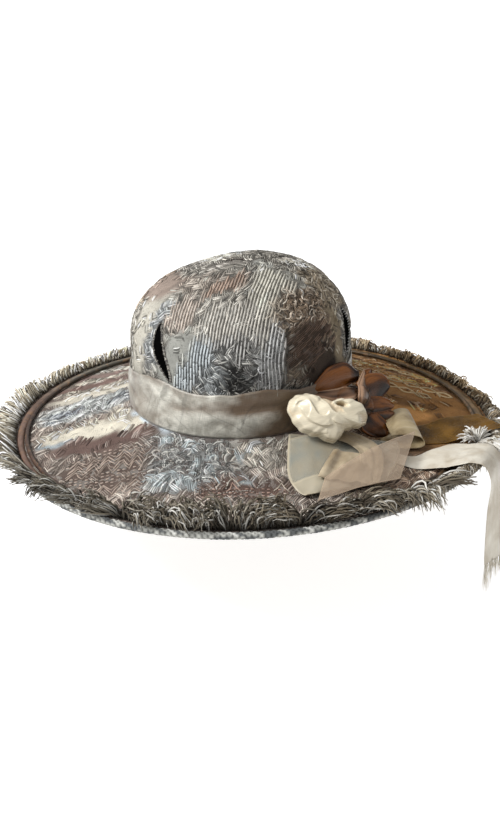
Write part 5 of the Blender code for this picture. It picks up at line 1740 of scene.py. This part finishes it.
def sideDistance(a, b, points):
    # signed distance to a smooth line, above 0 on its left, and the share along it
    line = throughStations(points, np.linspace(0.0, 1.0, 26))
    best, side, share = np.full(a.shape, 1e9), np.zeros(a.shape), np.zeros(a.shape)
    for index, (start, stop) in enumerate(zip(line, line[1:])):
        da, db = stop - start
        size = da * da + db * db
        t = np.clip(((a - start[0]) * da + (b - start[1]) * db) / size, 0.0, 1.0)
        gone = np.hypot(a - start[0] - t * da, b - start[1] - t * db)
        near = gone < best
        best = np.where(near, gone, best)
        side = np.where(near, np.sign(da * (b - start[1]) - db * (a - start[0])), side)
        share = np.where(near, (index + t) / 25.0, share)
    return best * side, share


def foldHeights(look, a, b):
    # height of the folds over a cushion: each has a steep edge and a gentle back
    warpA = a + 0.9 * grain2(a / 11.0, b / 11.0, 1.0, 3.0)
    warpB = b + 0.9 * grain2(a / 11.0, b / 11.0, 1.0, 9.0)
    height = np.zeros_like(a)
    for top, reach, side, points in look["folds"]:
        distance, part = sideDistance(warpA, warpB, points)
        inward = distance * side
        edge = np.clip(inward / look["drop"], 0.0, 1.0)
        edge = np.sqrt(1.0 - (1.0 - edge) ** 2)
        back = np.exp(-(np.maximum(inward - look["drop"], 0.0) / (reach * look["spread"])) ** 1.4)
        ends = smooth(part / 0.16) * smooth((1.0 - part) / 0.16)
        own = top * look["tall"] * edge * back * (0.15 + 0.85 * ends)
        height = (height ** 5 + own ** 5) ** 0.2
    return height


def placeCream(across, along):
    look = creamLook
    turn = across * 2.0 * np.pi - np.pi
    corners = np.array(look["outline"])
    table = list(zip(np.degrees(np.arctan2(corners[:, 1], corners[:, 0])), np.hypot(*corners.T)))
    row = along * (look["front"] + look["rear"])
    front = row <= look["front"]
    share = np.where(front, row / look["front"], 1.0 - (row - look["front"]) / look["rear"])
    size = wrapTable(table, np.degrees(turn))[0]
    a, b = size * share * np.cos(turn), size * share * np.sin(turn)
    bulge = np.sqrt(np.maximum(0.0, 1.0 - share ** 2))
    height = foldHeights(look, a, b)
    holeA, holeB, halfA, halfB, depth, tilt = look["hole"]
    c, s = cos(radians(tilt)), sin(radians(tilt))
    da, db = a - holeA, b - holeB
    hole = np.exp(-(((da * c + db * s) / halfA) ** 2 + ((db * c - da * s) / halfB) ** 2) ** 1.5)
    creases = 0.16 * grain2(a / 8.0 + b / 3.0, b / 7.0 - a / 8.0, 1.0, 5.0)
    out = np.where(front, look["dome"] * bulge + (height + creases) * smooth((1.0 - share) / 0.1)
                   - depth * hole, -look["rearDome"] * bulge)
    # painted shade low between the folds and in the hole, less at the rim
    deep = np.clip(ramp(4.2, 0.6, height) * 0.8 + hole, 0.0, 1.0) * np.where(share > 0.97, 0.4, 1.0)
    return {"points": onPlane(look, a, b, out), "weave": np.stack([a, b], 1), "deep": deep}


creamSatin = makePetalSatin("creamSatin", (0.54, 0.43, 0.29), (0.63, 0.56, 0.42), (0.6, 0.54, 0.41), 0.27)
clothGrid("creamRosette", creamLook["columns"], creamLook["front"] + creamLook["rear"], placeCream,
          creamSatin, "cream_rosette", "cream_satin", closed=True)


brownLook = {
    "centre": (107.0, -19.0, 13.5), "facing": -38.0, "rise": 27.0, "cushion": (17.0, 15.0, 6.0), "tilt": 0.0,
    "ridge": 1.2, "heartGrid": (90, 50), "grid": (70, 22), "thickness": 0.5,
    "folds": [   # material, width left and right of the curve, height, lift, bend, curve
        (1, 9.0, 10.0, 3.0, 0.0, 0.0, [(4, -4), (-5, -9), (-14, -12)]),
        (1, 8.0, 8.0, 4.0, 0.0, 0.3, [(9, 6), (16, 15), (23, 25)]),
        (1, 8.0, 13.0, 5.5, 1.0, -0.5, [(10, 20), (-4, 22.5), (-18, 20), (-33, 16.5)]),
        (2, 6.0, 7.0, 4.5, 2.5, 0.5, [(6, 9), (-6, 8), (-18, 9.5), (-32, 14)]),
        (1, 13.0, 12.0, 5.0, 0.5, 0.5, [(8, 2), (18, 8), (28, 10), (37, 8)]),
        (1, 8.0, 8.0, 4.5, 1.5, -0.4, [(6, -4), (16, -4), (27, -5), (37, -8)]),
        (1, 8.0, 8.0, 4.0, 0.5, 0.4, [(8, -9), (18, -13), (28, -15), (36, -14)]),
        (1, 10.0, 10.0, 4.0, 1.5, 0.5, [(5, -8), (12, -17), (19, -24), (24, -31)]),
        (2, 5.5, 7.0, 4.5, 4.0, 0.35, [(2, -6), (6, 4), (11, 14), (17, 25)]),
    ],
}
# the first satin, for the heart, is the brown in painted shade
brownSatins = [makePetalSatin(*look) for look in (
    ("brownValley", (0.015, 0.006, 0.002), (0.03, 0.012, 0.004), (0.05, 0.02, 0.007), 0.5, 0.2),
    ("brownPetal", (0.01, 0.003, 0.001), (0.066, 0.02, 0.003), (0.155, 0.052, 0.009), 0.28, 0.4),
    ("mauvePetal", (0.03, 0.013, 0.006), (0.15, 0.078, 0.042), (0.31, 0.19, 0.12), 0.26, 0.4))]
makeFolds("brown", brownLook, brownSatins, "brown_rosette", "brown_satin")


# Knot that gathers the ribbons under the rosettes

knotLook = {
    "grid": (110, 36), "at": (112.0, -47.0), "size": (9.0, 7.5, 3.4), "lift": 3.0, "pleats": 11,
}


def placeKnot(across, along):
    around, rise = across * 2.0 * np.pi, (along - 0.5) * np.pi
    pleat = 1.0 - 0.14 * np.abs(np.sin(knotLook["pleats"] * 0.5 * around + 1.5 * rise))
    x0, y0 = knotLook["at"]
    base = brimTop(np.array([x0]), np.array([y0]))[0] + knotLook["lift"] + knotLook["size"][2]
    halfX, halfY, halfZ = knotLook["size"]
    points = np.stack([x0 + halfX * pleat * np.cos(rise) * np.cos(around),
                       y0 + halfY * pleat * np.cos(rise) * np.sin(around),
                       base + halfZ * np.sin(rise)], 1)
    return {"points": points, "weave": np.stack([across * 50.0, along * 20.0], 1)}


clothGrid("ribbonKnot", *knotLook["grid"], placeKnot, ribbonStuff["silkSwath"], "ribbon_knot",
          "champagne_silk", closed=True)
print("scene: rosettes made")


# Floor, light and camera

studio = {
    "floor": -142.0, "floorRadius": 14.0,     # the radius in metres
    "floorGlow": 0.78, "world": 0.55,
    "key": ((-700.0, -900.0, 1100.0), 0.6, 34.0),   # place, size in metres, watts
    "azimuth": 25.0, "elevation": 22.31, "away": 1400.0, "lens": 72.0,
    "shiftX": 0.01044, "shiftY": -0.03145,
}

bm = bmesh.new()
bmesh.ops.create_circle(bm, cap_ends=True, segments=96, radius=studio["floorRadius"])
bmesh.ops.translate(bm, vec=(0.0, 0.0, studio["floor"] * mm), verts=bm.verts)
floorMesh = bpy.data.meshes.new("studioFloor")
bm.to_mesh(floorMesh)
bm.free()
floor = bpy.data.objects.new("studioFloor", floorMesh)
bpy.context.scene.collection.objects.link(floor)
paper = Cloth("palePaper", (0.6, 0.6, 0.6), 0.9)
paper.set("Emission Color", (1.0, 1.0, 1.0, 1.0))
paper.set("Emission Strength", studio["floorGlow"])
floorMesh.materials.append(paper.material)

world = bpy.data.worlds.new("softStudio")
bpy.context.scene.world = world
world.use_nodes = True
backdrop = world.node_tree.nodes["Background"]
backdrop.inputs["Color"].default_value = (1.0, 1.0, 1.0, 1.0)
backdrop.inputs["Strength"].default_value = studio["world"]


def addLight(name, at, size, watts):
    light = bpy.data.lights.new(name, "AREA")
    light.shape = "DISK"
    light.size = size
    light.energy = watts
    lamp = bpy.data.objects.new(name, light)
    lamp.location = Vector(at) * mm
    lamp.rotation_euler = lamp.location.to_track_quat("Z", "Y").to_euler()
    bpy.context.scene.collection.objects.link(lamp)


addLight("keyLight", *studio["key"])

turn, rise = radians(studio["azimuth"]), radians(studio["elevation"])
back = Vector((sin(turn) * cos(rise), -cos(turn) * cos(rise), sin(rise)))
lens = bpy.data.cameras.new("photoCamera")
lens.sensor_fit = "VERTICAL"
lens.sensor_height = 36.0
lens.lens = studio["lens"]
lens.shift_x = studio["shiftX"]
lens.shift_y = studio["shiftY"]
lens.clip_end = 60.0
camera = bpy.data.objects.new("photoCamera", lens)
camera.location = back * studio["away"] * mm
camera.rotation_euler = back.to_track_quat("Z", "Y").to_euler()
bpy.context.scene.collection.objects.link(camera)
bpy.context.scene.camera = camera
bpy.context.scene.view_settings.view_transform = "Standard"
print("scene: studio set")
